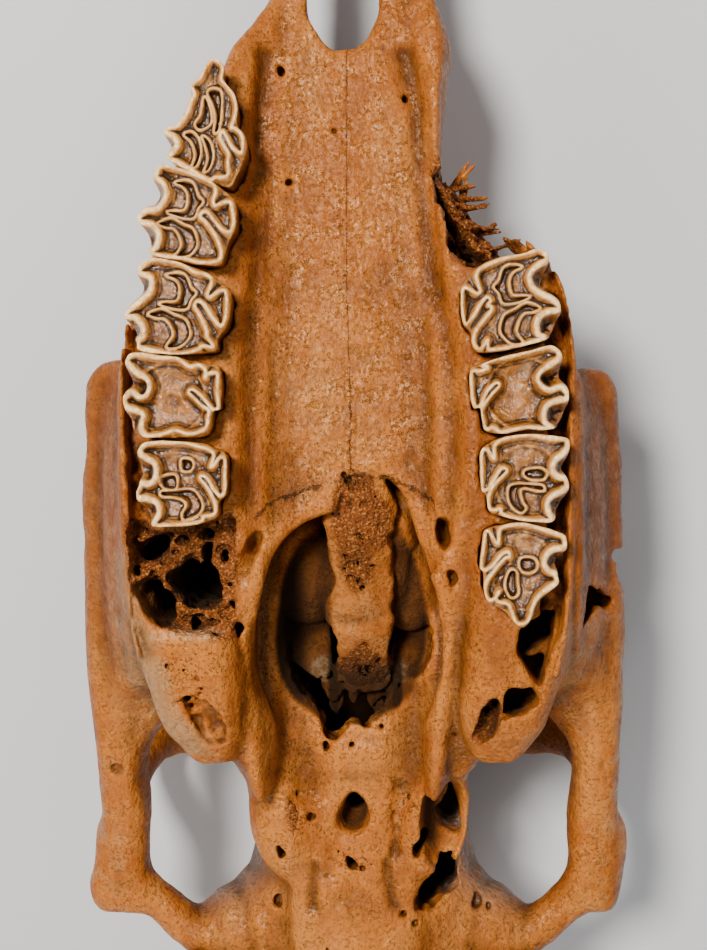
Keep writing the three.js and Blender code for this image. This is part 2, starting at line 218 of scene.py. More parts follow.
def rod(start, end, size0, size1, across, high):
    """A straight stretch of elliptical section, half width and half height at each end."""
    start, end = np.array(start, float), np.array(end, float)
    along = end - start
    length = np.linalg.norm(along) + 1e-9
    along = along / length
    reach = max(*size0, *size1)

    def distance(x, y, d):
        px, py, pz = x - start[0], y - start[1], d - start[2]
        run = px * along[0] + py * along[1] + pz * along[2]
        t = np.clip(run / length, 0, 1)
        rest = run - t * length
        side = px * across[0] + py * across[1] + pz * across[2]
        up = px * high[0] + py * high[1] + pz * high[2]
        width = size0[0] + (size1[0] - size0[0]) * t
        height = size0[1] + (size1[1] - size0[1]) * t
        small = np.minimum(width, height)
        return ellipsoid((side, up, rest), (width, height, small), small)

    return Piece(np.minimum(start, end) - reach, np.maximum(start, end) + reach, distance)


def bar(stations, upright=(0, 0, 1), smooth=4):
    """A bar of elliptical section through stations [x, y, depth, half width, half height]."""
    rows = np.array(stations, float)
    steps = (len(rows) - 1) * smooth
    line = curve_through(rows, np.linspace(0, len(rows) - 1, steps + 1))
    pieces = []
    for a, b in zip(line[:-1], line[1:]):
        along = b[:3] - a[:3]
        along = along / (np.linalg.norm(along) + 1e-9)
        across = np.cross(along, upright)
        across = across / (np.linalg.norm(across) + 1e-9)
        high = np.cross(across, along)
        pieces.append(rod(a[:3], b[:3], a[3:], b[3:], across, high))
    return pieces


def ball(centre, radii):
    """An ellipsoid with radii [across, along, deep]."""
    centre, radii = np.array(centre, float), np.array(radii, float)

    def distance(x, y, d):
        return ellipsoid((x - centre[0], y - centre[1], d - centre[2]), radii, radii.min())

    return [Piece(centre - radii, centre + radii, distance)]


def tunnel(start, end, radius):
    """A round hole from one point to another that lies behind or below it."""
    along = np.array(end, float) - np.array(start, float)
    across = np.cross(along, (1, 0, 0))
    across = across / np.linalg.norm(across)
    high = np.cross(across, along / np.linalg.norm(along))
    return [rod(start, end, (radius, radius), (radius, radius), across, high)]


def ramp(start, end, value):
    """Runs smoothly from 0 at the start to 1 at the end."""
    t = np.clip((value - start) / (end - start), 0, 1)
    return t * t * (3 - 2 * t)


def smooth_loop(corners, steps=5):
    """A closed outline through the corners, rounded between them."""
    rows = np.array(corners, float)
    padded = np.vstack([rows[-1:], rows, rows[:2]])
    return curve_through(padded, 1 + np.arange(len(rows) * steps) / steps)


def edge_distance(line, x, y):
    """Distance in the plane to an open line of points."""
    gx, gy = np.broadcast_arrays(x, y)
    px, py = gx.ravel(), gy.ravel()
    best = np.full(len(px), 1e9)
    for (ax, ay), (bx, by) in zip(line[:-1], line[1:]):
        ex, ey = bx - ax, by - ay
        t = np.clip(((px - ax) * ex + (py - ay) * ey) / (ex * ex + ey * ey + 1e-9), 0, 1)
        best = np.minimum(best, (px - ax - t * ex) ** 2 + (py - ay - t * ey) ** 2)
    return np.sqrt(best).reshape(gx.shape).astype(np.float32)


def inside_loop(loop, x, y):
    gx, gy = np.broadcast_arrays(x, y)
    px, py = gx.ravel(), gy.ravel()
    inside = np.zeros(len(px), bool)
    for (ax, ay), (bx, by) in zip(loop, np.roll(loop, -1, axis=0)):
        crosses = (ay > py) != (by > py)
        if crosses.any():
            inside ^= crosses & (px < (bx - ax) * (py - ay) / (by - ay + 1e-12) + ax)
    return inside.reshape(gx.shape)


def outline_distance(loop, x, y):
    """Signed distance in the plane to a closed outline, negative inside."""
    away = edge_distance(np.vstack([loop, loop[:1]]), x, y)
    return np.where(inside_loop(loop, x, y), -away, away)


def extreme(level, loop, pick):
    """The least or greatest value, over an outline's box, of a number or a function of x and y."""
    if np.isscalar(level):
        return float(level)
    (x0, y0), (x1, y1) = loop.min(axis=0), loop.max(axis=0)
    return float(pick(level(*np.meshgrid(np.linspace(x0, x1, 30), np.linspace(y0, y1, 60)))))


def prism(corners, top, bottom, ragged=0.0, narrowing=0.0, round_edge=1.0, grain=2.4, seed=0, grow=0.0):
    """An upright body of that outline, between two depths, each a number or a function of x and y."""
    loop = smooth_loop(corners)

    def distance(x, y, d):
        flat = outline_distance(loop, x[..., 0], y[..., 0])[..., None]
        if ragged:
            flat = flat + ragged * noise(x, y, d * 0.5, grain, seed)
        upper = top if np.isscalar(top) else top(x, y)
        lower = bottom if np.isscalar(bottom) else bottom(x, y)
        flat = flat - grow + narrowing * np.maximum(d - upper, 0)
        return blend_max(flat, np.maximum(upper - d, d - lower), round_edge)

    low = [*(loop.min(axis=0) - grow), extreme(top, loop, np.min)]
    high = [*(loop.max(axis=0) + grow), extreme(bottom, loop, np.max)]
    return [Piece(low, high, distance)]


def hollows(corners, top, bottom, hollow):
    """What a distance function leaves hollow, inside an outline and between two depths."""
    loop = smooth_loop(corners)

    def distance(x, y, d):
        flat = outline_distance(loop, x[..., 0], y[..., 0])[..., None]
        return np.maximum(hollow(x, y, d), np.maximum(flat, np.maximum(top - d, d - bottom)))

    return [Piece([*loop.min(axis=0), top], [*loop.max(axis=0), bottom], distance)]


def sponge(corners, top, bottom, size, radius, seed, stretch=(1, 1, 1)):
    """The pores of spongy bone."""
    return hollows(corners, top, bottom, lambda x, y, d: pores(x, y, d, size, radius, seed, stretch))


def leaves(corners, top, bottom, size, seed):
    """Clefts that split broken bone into upright leaves."""

    def cleft(x, y, d):
        across, along = 0.9 * x + 0.5 * y, 0.9 * y - 0.5 * x
        return 0.9 - 5.0 * noise(across, along * 0.35, d * 0.3, size, seed)

    return hollows(corners, top, bottom, cleft)


# ---- Fields --------------------------------------------------------------------------------------


def largest_shell(points, quads):
    """The mesh without its loose crumbs and the closed bubbles inside the bone, which nobody sees."""
    root = np.arange(len(points))
    while True:
        lowest = root[quads].min(axis=1)
        joined = root.copy()
        for corner in quads.T:
            np.minimum.at(joined, root[corner], lowest)
            np.minimum.at(joined, corner, lowest)
        joined = joined[joined]
        if np.array_equal(joined, root):
            break
        root = joined
    kept = root == np.bincount(root).argmax()
    renumbered = np.cumsum(kept) - 1
    return points[kept], renumbered[quads[kept[quads[:, 0]]]]


class Field:
    """Signed distance to a solid, in mm, on a grid over [x, y, depth]."""

    def __init__(self, low, high, cell):
        self.low = np.array(low, float)
        self.cell = cell
        counts = np.ceil((np.array(high, float) - self.low) / cell).astype(int) + 1
        self.value = np.full(counts, FAR, np.float32)

    def window(self, low, high):
        """The slices of the grid between two corners, and its open coordinates."""
        start = np.floor((np.asarray(low, float) - self.low) / self.cell).astype(int)
        stop = np.ceil((np.asarray(high, float) - self.low) / self.cell).astype(int) + 1
        start = np.clip(start, 0, self.value.shape)
        stop = np.clip(stop, 0, self.value.shape)
        part = tuple(slice(a, b) for a, b in zip(start, stop))
        axes = [
            (self.low[k] + self.cell * np.arange(start[k], stop[k])).astype(np.float32) for k in range(3)
        ]
        return part, (axes[0][:, None, None], axes[1][None, :, None], axes[2][None, None, :])

    def sample(self, pieces, reach):
        """The least distance to any of the pieces, in their common window."""
        low = np.min([p.low for p in pieces], axis=0) - reach
        high = np.max([p.high for p in pieces], axis=0) + reach
        part, _ = self.window(low, high)
        least = np.full(self.value[part].shape, FAR, np.float32)
        for piece in pieces:
            own, (x, y, d) = self.window(piece.low - reach, piece.high + reach)
            local = tuple(slice(o.start - p.start, o.stop - p.start) for o, p in zip(own, part))
            if least[local].size:
                least[local] = np.minimum(least[local], piece.distance(x, y, d))
        return part, least

    def add(self, pieces, blend=4.0):
        part, least = self.sample(pieces, blend + 2 * self.cell)
        self.value[part] = blend_min(self.value[part], least, blend)

    def add_all(self, *bodies):
        """Adds pairs of pieces and how softly they blend in, one after another."""
        for pieces, blend in bodies:
            self.add(pieces, blend)

    def cut(self, pieces, blend=2.0):
        part, least = self.sample(pieces, blend + 2 * self.cell)
        self.value[part] = blend_max(self.value[part], -least, blend)

    def copy(self):
        twin = Field(self.low, self.low, self.cell)
        twin.value = self.value.copy()
        return twin

    def top_at(self, x, y):
        """The depth where a line straight down through x, y first meets the solid."""
        i, j = (int(round((v - self.low[k]) / self.cell)) for k, v in enumerate((x, y)))
        column = self.value[i, j]
        return float(self.low[2] + self.cell * np.argmax(column < 0))

    def near(self, reach):
        """The cells within reach of the surface, and their coordinates, as flat arrays."""
        cells = np.nonzero(np.abs(self.value) < reach)
        x, y, d = (np.float32(self.low[k]) + np.float32(self.cell) * cells[k] for k in range(3))
        return cells, x.astype(np.float32), y.astype(np.float32), d.astype(np.float32)

    def at(self, points):
        """The field's value at rows of [x, y, depth], by trilinear interpolation."""
        scaled = (points - self.low) / self.cell
        top = np.array(self.value.shape) - 2
        i = np.clip(np.floor(scaled).astype(int), 0, top)
        f = (scaled - i).astype(np.float32)
        total = np.zeros(len(points), np.float32)
        for (a, b, c), weight in corner_weights(f.T):
            total += weight * self.value[i[:, 0] + a, i[:, 1] + b, i[:, 2] + c]
        return total

    def mesh(self):
        """The surface as points in mm and faces of four corners."""
        grid = openvdb.FloatGrid(FAR)
        grid.copyFromArray(np.ascontiguousarray(np.clip(self.value, -3, 3)))
        points, _, quads = grid.convertToPolygons(isovalue=0.0, adaptivity=0.0)
        points, quads = largest_shell(points, quads)
        return points * self.cell + self.low, quads[:, ::-1]


# ---- The bones -----------------------------------------------------------------------------------


def row_middle(y):
    """How far the middle of a cheek tooth row lies from the skull's middle."""
    return 54.5 - 0.00093 * max(0.0, y - 15) ** 2 - 0.0011 * min(0.0, y + 20) ** 2


def to_forehead(rows):
    """Stations whose dorsal depth is given as mm beyond the forehead line."""
    return [[y, top, forehead(y) + beyond, *widths] for y, top, beyond, *widths in rows]


def on_forehead(rows):
    """Stations with both depths given as mm beyond the forehead line."""
    return [[y, forehead(y) + top, forehead(y) + deep, *widths] for y, top, deep, *widths in rows]


def on_side(side, rows):
    """Stations of a bar on the animal's right or left."""
    return [[side * x, *rest] for x, *rest in rows]


def muzzle():
    return loft([
        [255, 16, 34, 22, 20], [246, 12, 42, 31, 26], [230, 13, 50, 34, 27], [210, 17, 57, 27.5, 22],
        [188, 19, 64, 24.5, 20], [165, 18, 73, 27.5, 20], [156, 17, 78, 29.5, 20], [149, 16, 82, 33, 21],
        [141, 15, 87, 38, 22], [133, 15, 91, 37, 22], [117, 15, 98, 33, 24], [106, 15, 104, 32, 24],
    ])


def face():
    return loft(to_forehead([
        [125, 15, 0, 30, 24], [104, 15, 0, 30, 26], [90, 15, 0, 34, 28], [76, 15, 0, 38, 31],
        [60, 15, 0, 46, 33], [30, 14, 0, 60, 39], [0, 14, 0, 65, 49], [-25, 15, 0, 66, 61],
        [-45, 20, -1, 66, 72], [-62, 34, -2, 58, 76],
    ]))


def nasals():
    rows = [[141, -7, 1, 13, 14], [126, -8, 1, 22, 22], [90, -10, 1, 28, 26], [0, -12, 1, 44, 40]]
    return loft(on_forehead(rows), squareness=2.6)


def palate_plate():
    """Fills the face out to its sides, so that the roof of the mouth alone shapes the palate."""
    return loft([
        [128, 16, 60, 24, 22], [118, 15, 60, 27, 24], [104, 15, 60, 28.5, 26], [96, 15, 60, 30, 27],
        [86, 14, 60, 34, 29], [74, 13, 60, 39, 31], [60, 13, 60, 41, 34], [0, 13, 60, 42, 36],
        [-22, 15, 60, 40, 36],
    ], squareness=8)


def tooth_bar(side, front):
    stations = [
        [132, 18, 40, 3, 3], [118, 12, 50, 5, 6], [100, 11.5, 56, 8, 8], [80, 11, 60, 11, 9],
        [66, 11, 61, 14, 11], [58, 11, 62, 15.5, 12], [42, 11, 62, 17, 14], [20, 11, 62, 18.5, 16],
        [-12, 11.5, 64, 18.5, 17], [-42, 12.5, 66, 18, 17], [-64, 16, 68, 17.5, 17], [-84, 25, 68, 14, 14],
        [-97, 36, 62, 8, 8],
    ]
    kept = [s for s in stations if s[0] <= front]
    return loft(kept, squareness=3.6, middle=lambda y: side * row_middle(y))


RIGHT_WALL = [[-71, 48], [-72.5, 40], [-73, 20], [-72.5, 0], [-71.5, -26], [-71, -44], [-68, -58]]
LEFT_WALL = [
    [59, 71], [64.5, 66], [69, 56], [71.5, 42], [71.5, 20], [71, -10], [70, -34], [68, -52], [65, -64],
]


def socket_wall(side):
    """The thin outer wall of the tooth sockets, seen edge on."""
    line = RIGHT_WALL if side < 0 else LEFT_WALL
    rows = [[x, y, 31, 1.5, 17] for x, y in line]
    rows[0][2:] = [38, 1.4, 16]
    return bar(rows)


def socket_gap(side):
    """The crumbled gap between that wall and the cheek side of the crowns."""
    line = RIGHT_WALL[1:5] if side < 0 else LEFT_WALL[2:8]
    outer = [[x - side * 1.3, y] for x, y in line]
    inner = [[x - side * 8.5, y] for x, y in reversed(line)]
    return prism(outer + inner, -5, gap_floor, ragged=0.5, grain=3, seed=90)


def gap_floor(x, y):
    """The uneven bottom of that gap."""
    return 23 + 3.5 * noise(x, y, x * 0, 3.2, 91)


def along(rows):
    """A function of y that runs straight from row to row of [y, x]."""
    rows = np.array(sorted(rows), float)

    def middle(y):
        return float(np.interp(y, rows[:, 0], rows[:, 1]))

    return middle


RIGHT_CREST = [[40, -82], [28, -86.5], [0, -88], [-79, -88], [-114, -86], [-132, -86], [-156, -90]]
LEFT_CREST = [[40, 80], [33, 82], [24, 84], [-3, 86], [-59, 86.5], [-97, 86], [-126, 85], [-156, 86]]


def arch(side):
    front = 39 if side < 0 else 34
    crest = loft([
        [front, 42, 53, 5, 6], [front - 7, 42, 57, 6, 8], [5, 45, 64, 6.5, 8], [-35, 49, 76, 7, 8.5],
        [-70, 54, 86, 8, 8.5], [-100, 62, 92, 8, 8.5], [-126, 72, 96, 8.5, 8.5], [-148, 80, 100, 9, 8],
        [-160, 84, 99, 7, 6],
    ], squareness=2.5, middle=along(RIGHT_CREST if side < 0 else LEFT_CREST), round_end=4)
    root = loft([
        [front - 3, 38, 64, 9, 10], [5, 30, 80, 12, 13], [-30, 32, 92, 13, 16], [-62, 42, 98, 13, 15],
        [-84, 58, 94, 12, 12], [-102, 70, 88, 5, 5],
    ], squareness=2.6, middle=lambda y: side * (73 + 0.0045 * min(0.0, y + 50) ** 2))
    web = loft([
        [front - 4, 20, 56, 3, 8], [front - 18, 18, 60, 3, 12], [-30, 20, 66, 3, 13], [-52, 28, 72, 4, 13],
        [-70, 42, 80, 4, 11],
    ], squareness=2.4, middle=lambda y: side * (72 + 0.002 * min(0.0, y + 40) ** 2))
    return crest, root, web


def cheeks():
    rows = [
        [36, 50, -12, 76, 34], [5, 48, -4, 84, 48], [-25, 52, -2, 86, 62], [-48, 58, -1, 87, 74],
        [-74, 66, -1, 86, 80],
    ]
    return loft(to_forehead(rows), squareness=2.8)


def forehead_plate():
    return loft(on_forehead([
        [14, -10, 1, 44, 38], [-20, -12, 1, 60, 54], [-50, -13, 1, 78, 68], [-74, -13, 1, 85, 72],
        [-100, -13, 1, 94, 74], [-113, -12, 0, 93, 72], [-119, -11, -1, 84, 66],
    ]))


def orbit_bar(side):
    rows = [[84, -106, 156, 11, 7], [92, -118, 138, 9, 6], [92.5, -130, 112, 9, 5.5], [92, -138, 90, 12, 6]]
    return bar(on_side(side, rows), upright=(1, 0, 0))


def braincase():
    return loft([
        [-50, 62, forehead(-50) - 4, 44, 50], [-80, 66, forehead(-80) - 4, 42, 46],
        [-112, 68, forehead(-112) - 2, 39, 43], [-135, 70, 169, 40, 42], [-160, 70, 171, 47, 46],
        [-188, 72, 169, 54, 51], [-218, 76, 164, 52, 46], [-245, 84, 160, 42, 36], [-266, 100, 158, 32, 28],
    ], squareness=2.4)


def jaw_joint(side):
    end = 94 if side < 0 else 86
    rows = [[end, -154, 91, 7, 8], [79, -157, 92, 6.5, 8], [62, -171, 95, 9, 11], [42, -170, 100, 18, 20]]
    return bar(on_side(side, rows)) + ball([side * 58, -184, 90], [9, 7, 12])


def ear(side):
    tube = bar(on_side(side, [[40, -190, 104, 8, 8], [66, -196, 104, 6.5, 6.5]]))
    return tube + ball([side * 34, -190, 86], [13, 17, 13])


def occiput_plate():
    return bar([
        [0, -284, 157, 27, 6], [0, -276, 140, 34, 9], [0, -262, 112, 44, 12], [0, -248, 92, 42, 12],
    ], upright=(0, 1, 0))


def crests():
    nuchal = bar([[-31, -274, 152, 4, 6], [0, -285, 157, 4, 6], [31, -274, 152, 4, 6]])
    sagittal = bar([[0, -284, 158, 5, 4], [0, -240, 164, 4, 4], [0, -190, 169, 3, 3]])
    return nuchal + sagittal


def condyle(side):
    rows = [[27, -250, 112, 9, 10], [25, -268, 98, 12, 14], [17, -262, 78, 10, 9]]
    return bar(on_side(side, rows), upright=(1, 0, 0))


def mastoid(side):
    return ball([side * 46, -222, 105], [13, 21, 27])


def paracondylar(side):
    rows = [[42, -234, 96, 8, 14], [50, -232, 68, 5.5, 11], [49, -226, 45, 3.5, 6]]
    return bar(on_side(side, rows), upright=(0, 1, 0))


def base_keel():
    return loft([
        [-84, 61, 84, 33, 38], [-96, 61, 84, 39, 40], [-110, 63, 86, 38, 38], [-119, 64, 86, 31, 34],
        [-128, 65, 86, 25, 26], [-146, 66, 90, 23.5, 24], [-172, 67, 92, 23, 23], [-212, 69, 92, 14, 17],
        [-250, 72, 92, 20, 22],
    ], squareness=4.5, middle=along([[-84, 0], [-110, -1], [-128, -2], [-172, -1.5], [-212, 0], [-250, 0]]))


def wing(side):
    return ball([side * 26, -118, 76], [14, 28, 17])


RIGHT_BLADE = [[-8, -33], [-40, -34.5], [-60, -36.5], [-80, -36], [-100, -34.5], [-114, -33]]
LEFT_BLADE = [[-8, 34], [-40, 33], [-60, 30.5], [-80, 28.5], [-100, 27.5], [-114, 26.5]]


def blade(side):
    """The upright plate that runs back from the rim of the rear nose, with its hook on the left side."""
    return loft([
        [-8, 20, 70, 6, 8], [-40, 21, 84, 6, 8], [-60, 27, 88, 6.5, 8], [-80, 34, 88, 6.5, 8],
        [-94, 39, 86, 5.5, 8], [-104, 43, 84, 3.5, 8], [-113, 49, 82, 1.5, 7],
    ], squareness=2.3, middle=along(RIGHT_BLADE if side < 0 else LEFT_BLADE), round_end=4)


def blade_web(side):
    """The hollow slope between a blade and the swelling behind the last molar."""
    return loft([
        [-30, 22, 90, 9, 10], [-44, 25, 90, 10, 11], [-60, 31, 92, 11, 12], [-78, 37.5, 92, 12, 12],
        [-92, 44, 90, 10, 11], [-106, 54, 86, 5, 8],
    ], squareness=2.3, middle=lambda y: side * (39 + 0.15 * min(0.0, y + 80)))


PALATE = [
    [-41.5, -24], [-41.5, 40], [-41, 84], [-38, 112], [-33, 145], [-24, 200], [-7, 238], [7, 238], [24, 200],
    [33, 145], [38, 112], [41, 84], [41.5, 40], [41.5, -24], [0, -30],
]


def palate_depth(x, y):
    """The roof of the mouth: nearly flat, with a furrow along each side and a slope up to the teeth."""
    away = np.abs(x)
    ridge = np.interp(y, [-40, 84, 118, 150, 236], [38.5, 38.5, 36.5, 33, 20])
    middle = np.interp(y, [-30, 60, 150, 236], [25, 24, 21.5, 18])
    climb = np.interp(y, [-30, 90, 125, 150, 236], [12.5, 12.5, 8, 4, 3])
    furrow = 0.8 * np.exp(-(((away - ridge + 13) / 2.5) ** 2))
    return middle + furrow - climb * ramp(ridge - 20, ridge + 3, away)


CHOANA_RIM = [
    [2, -4], [0, -8], [-3, -14], [-11, -17], [-19, -22], [-25, -33], [-28, -47], [-29, -60], [-27, -72],
    [-21, -82], [-10, -88], [4, -88], [16, -82], [22, -74], [25.5, -62], [26, -48], [24, -35], [19.5, -23],
    [15.5, -11], [12.5, -5.5], [8, -3.5],
]
VOID_RIM = [
    [-25, -58], [-25, -64], [-22, -73], [-17, -80], [-12.5, -87], [-11.5, -92], [-9, -93.5], [-5, -91],
    [-3, -88.5], [0, -88], [2.5, -90], [5, -87], [8, -85], [10.5, -82], [11.5, -75], [15, -72], [21, -71],
    [26, -64], [26.5, -52], [24, -35], [16, -12], [0, -5], [-9, -14], [-24, -34],
]
VOMER_EDGE = [
    [-6, 3], [-7.5, -5], [-9, -13], [-8.5, -21], [-7.5, -30], [-6, -35], [-7, -40], [-10, -44], [-9.5, -50],
    [-6.5, -55], [-6, -62], [-7, -68], [-9.5, -72], [-4, -76], [5, -77], [12, -73], [12, -67], [11.5, -61],
    [12.5, -54], [14, -49], [13.5, -42], [13, -32], [13, -21], [15, -11], [13, -6], [9, 3],
]
SPONGY_VOMER = [
    [-4, -1], [0, 1], [7, 0], [9, -6], [13, -10], [13.5, -16], [12, -23], [7, -27], [8, -33], [4, -38],
    [0, -40], [-3, -35], [-5, -29], [-5, -24], [-7, -18], [-7, -12],
]
RAGGED_REAR = [
    [-12, -70], [-13, -75], [-11, -80], [-9, -86], [-6.5, -84], [-5.5, -78], [-3, -77], [-1.5, -82],
    [0.5, -79], [3, -77], [5.5, -84], [9, -85], [11, -79], [14, -76], [15, -69], [4, -62],
]


def vomer_top(x, y):
    """The vomer's free edge lies deeper towards the rear."""
    sloping = 0.42 * np.clip(-y - 4, 0, 41) + 0.3 * np.clip(-y - 45, 0, 10) + 0.75 * np.clip(-y - 55, 0, 30)
    return 25.5 + sloping + 0.022 * (x - 3) ** 2 + 0.9 * noise(x, y, x * 0, 5.0, 5)


def ragged_top(x, y):
    """Depth of the jagged rear end of the vomer."""
    return 64 + 0.5 * np.clip(-y - 66, 0, 30) + 1.6 * noise(x, y, x * 0, 4.0, 6)


def choana():
    return loft([
        [-10, 34, 60, 12, 12], [-20, 32, 84, 20, 18], [-38, 30, 96, 26, 24], [-58, 30, 99, 28, 25],
        [-76, 30, 94, 26, 22], [-90, 34, 78, 20, 16], [-96, 40, 62, 11, 10],
    ], squareness=2.6)


def pterygoid_floor():
    """The shelf between the pterygoid blades, ahead of the sphenoid."""
    return loft([[-56, 62, 76, 30, 28], [-74, 60, 76, 31, 28], [-90, 61, 78, 33, 30], [-104, 62, 80, 34, 32]])


def inner_nose():
    """Smooth shells inside the rear of the nose, with the bulges ahead of them."""
    bulges = ball([-18, -28, 74], [19, 26, 21]) + ball([-10, -33, 74], [13, 18, 19])
    bulges += ball([19, -29, 70], [15, 27, 19]) + ball([14, -24, 69], [9, 28, 24])
    bulges += ball([16, -14, 64], [9, 17, 25])
    right = [[-22, -50, 79, 10, 8], [-19, -58, 76, 10, 5], [-15, -65, 71, 7, 3.2], [-11.5, -71, 67, 3.6, 1.8]]
    left = [[22, -50, 78, 8, 8], [21, -58, 75, 8.5, 5], [18, -65, 70, 6.5, 3.2], [14.5, -71, 67, 3.2, 1.8]]
    return bulges + bar(right) + bar(left)


FISSURE = [
    [-10, 202], [-12.5, 170], [-12.5, 154], [-11, 147], [-7, 141], [-3, 138.5], [2, 138.5], [6, 141],
    [9.5, 146.5], [11, 154], [11, 170], [9, 202],
]


def nose_passage():
    return loft([
        [228, 40, 70, 5, 8], [205, 30, 95, 12, 14], [165, 29, 112, 17, 17], [144, 29, 112, 20, 18],
        [138, 29, forehead(138) - 9, 20, 18], [70, 32, forehead(70) - 12, 22, 20],
        [30, 44, forehead(30) - 22, 18, 16],
    ])


def great_foramen():
    return bar([[0, -292, 108, 16, 16], [0, -236, 100, 16, 16]])


RIGHT_ROW_FRONT = 124
LEFT_ROW_FRONT = 76


def build_masses():
    """The outer form, with the nose passages, the orbits, the palate and the rear opening of the nose."""
    field = Field([-108, -298, -2], [108, 262, 178], BONE_CELL)
    field.add_all((face(), 6), (cheeks(), 6), (muzzle(), 6), (nasals(), 4), (palate_plate(), 3))
    field.cut(nose_passage(), 3)
    field.add_all((tooth_bar(-1, RIGHT_ROW_FRONT), 6), (tooth_bar(1, LEFT_ROW_FRONT), 6))
    field.add_all((right_shelf(), 5), (left_shelf(), 5), (left_margin(), 6), (broken_maxilla(), 5))
    for side in SIDES:
        crest, root, web = arch(side)
        field.add_all((root, 6), (crest, 7), (web, 9), (socket_wall(side), 2))
    field.add_all((forehead_plate(), 14), (braincase(), 10))
    for side in SIDES:
        field.cut(ball([side * 99, -92, 121], [50, 33, 30]), 4)
    for side in SIDES:
        field.add_all((orbit_bar(side), 8), (jaw_joint(side), 9), (ear(side), 4), (mastoid(side), 8))
    field.add_all((occiput_plate(), 10), (crests(), 4))
    for side in SIDES:
        field.add_all((condyle(side), 5), (paracondylar(side), 6), (wing(side), 8))
    field.add(base_keel(), 4)
    field.cut(great_foramen(), 4)
    field.cut(choana(), 3)
    field.cut(prism(PALATE, -12, palate_depth), 3)
    field.add(pterygoid_floor(), 4)
    for side in SIDES:
        field.add_all((blade_web(side), 5), (blade(side), 5))
    field.cut(prism(CHOANA_RIM, -5, 58, ragged=0.5, grain=7, narrowing=-0.12, grow=-0.8), 3.5)
    field.cut(prism(FISSURE, -5, 95, ragged=0.5, grain=5), 2.5)
    return field


RIGHT_SHELF = [
    [154, -24], [146, -26.5], [139, -30.5], [130, -34], [122, -36], [108, -37], [86, -40], [60, -41],
    [-10, -41],
]
LEFT_MARGIN = [
    [162, 25], [150, 27], [138, 28.5], [130, 28.5], [118, 27], [104, 25.5], [96, 26], [84, 30],
]


def right_shelf():
    """Bone between the palate and the right row, run out ahead of it on the muzzle."""
    return loft([
        [154, 22, 46, 2, 4], [146, 18, 50, 5, 6], [139, 15, 56, 7, 8], [126, 13, 60, 7, 9],
        [108, 11.5, 66, 7.5, 10], [86, 11, 70, 8, 10], [60, 11, 70, 8, 10], [30, 11, 70, 8, 10],
        [-10, 13, 70, 6, 8],
    ], squareness=3.4, middle=along(RIGHT_SHELF))


def left_margin():
    """The rounded margin of the toothless stretch, where the front premolars are lost."""
    return loft([
        [162, 21, 44, 2, 4], [150, 18, 50, 3.5, 5], [138, 16.5, 54, 4.5, 6], [130, 16, 54, 4, 4],
        [118, 15.5, 52, 4, 3.5], [104, 15, 52, 4, 3.5], [96, 15, 54, 4, 5], [84, 16, 62, 4, 7],
    ], squareness=2.6, middle=along(LEFT_MARGIN))


def left_shelf():
    return loft([
        [72, 20, 66, 4, 6], [62, 15, 68, 6, 9], [50, 12, 70, 7.5, 10], [30, 11, 70, 8, 10],
        [-10, 12, 70, 7, 9],
    ], squareness=3.4, middle=along([[72, 38], [50, 41], [-10, 41]]))


def broken_maxilla():
    """What is left of the left jaw where its two front premolars broke away."""
    return loft([
        [98, 36, 62, 3, 5], [90, 35, 64, 5, 9], [80, 34, 66, 7, 12], [70, 30, 66, 12, 14],
        [60, 16, 66, 14, 16],
    ], squareness=2.8, middle=along([[98, 31], [90, 33], [80, 37], [70, 41], [60, 45]]))


# Outlines traced in the plane of the chewing surface, as [x, y] in mm
SOCKET_AREA = [
    [-72, -13], [-71.5, -26], [-71, -34], [-68, -40], [-65, -45], [-59, -49], [-53, -51], [-46, -51.5],
    [-39, -53], [-36.5, -50], [-37, -40], [-36, -25], [-37, -12], [-44, -13], [-52, -15], [-63, -16],
]
DEEP_SOCKETS = [
    [[-70, -25], [-68, -21], [-63, -19], [-59, -20], [-60, -24], [-64, -27], [-68, -28]],
    [
        [-59, -33], [-55, -29], [-50, -28], [-45, -29.5], [-42.5, -33], [-42, -39], [-45, -42.5], [-51, -42],
        [-56, -38],
    ],
    [[-69, -35], [-64, -34.5], [-59.5, -38], [-57, -42], [-60, -47.5], [-65, -45], [-67.5, -40]],
]
SMALL_SOCKETS = [
    [-70.5, -21, 1.5], [-69.5, -31, 2.0], [-46.5, -24.5, 3.2], [-40.7, -26, 2.6], [-39.5, -35, 1.8],
    [-38.6, -41.5, 1.5], [-36.8, -50, 1.6], [-50.5, -47.2, 2.2], [-42.5, -47.5, 1.5], [-45.5, -18.5, 1.6],
    [-54, -72.5, 1.8], [-53, -75, 1.6], [-43.5, -38.5, 1.8],
]
REAR_PIT = [
    [-54.5, -75], [-52, -71.5], [-47.5, -73], [-43.5, -78], [-42, -85], [-43.5, -92.5], [-46.5, -91],
    [-51, -84],
]
LEFT_BREAK = [[54, -49], [58, -46], [66, -44], [66, -50], [64, -57], [60.5, -69], [57, -64], [53.5, -57]]
LEFT_BREAK_REAR = [[49.5, -70], [54, -69], [60, -69.5], [60, -74], [56.5, -78], [52, -79.5], [48.5, -79]]
LEFT_PIT = [[43, -74], [47, -72], [48.5, -78], [47, -85], [43, -89], [39, -89.5], [40, -82]]
TEARDROP = [
    [-1.5, -113], [-4.5, -115], [-7, -120], [-7.5, -124], [-5.5, -127], [-1.5, -127.5], [2.5, -125.5],
    [3.8, -121], [1.8, -116],
]
RIGHT_TEMPORAL_HOLE = [
    [20, -151], [22, -148], [26, -143], [29, -138], [33, -137], [36, -141], [36, -146], [35, -152],
    [29, -156], [24, -158], [20, -156],
]
WEDGE_HOLE = [[33, -111], [30.5, -119], [27, -122.5], [30, -128.5], [36, -130], [36.5, -122], [35, -116]]
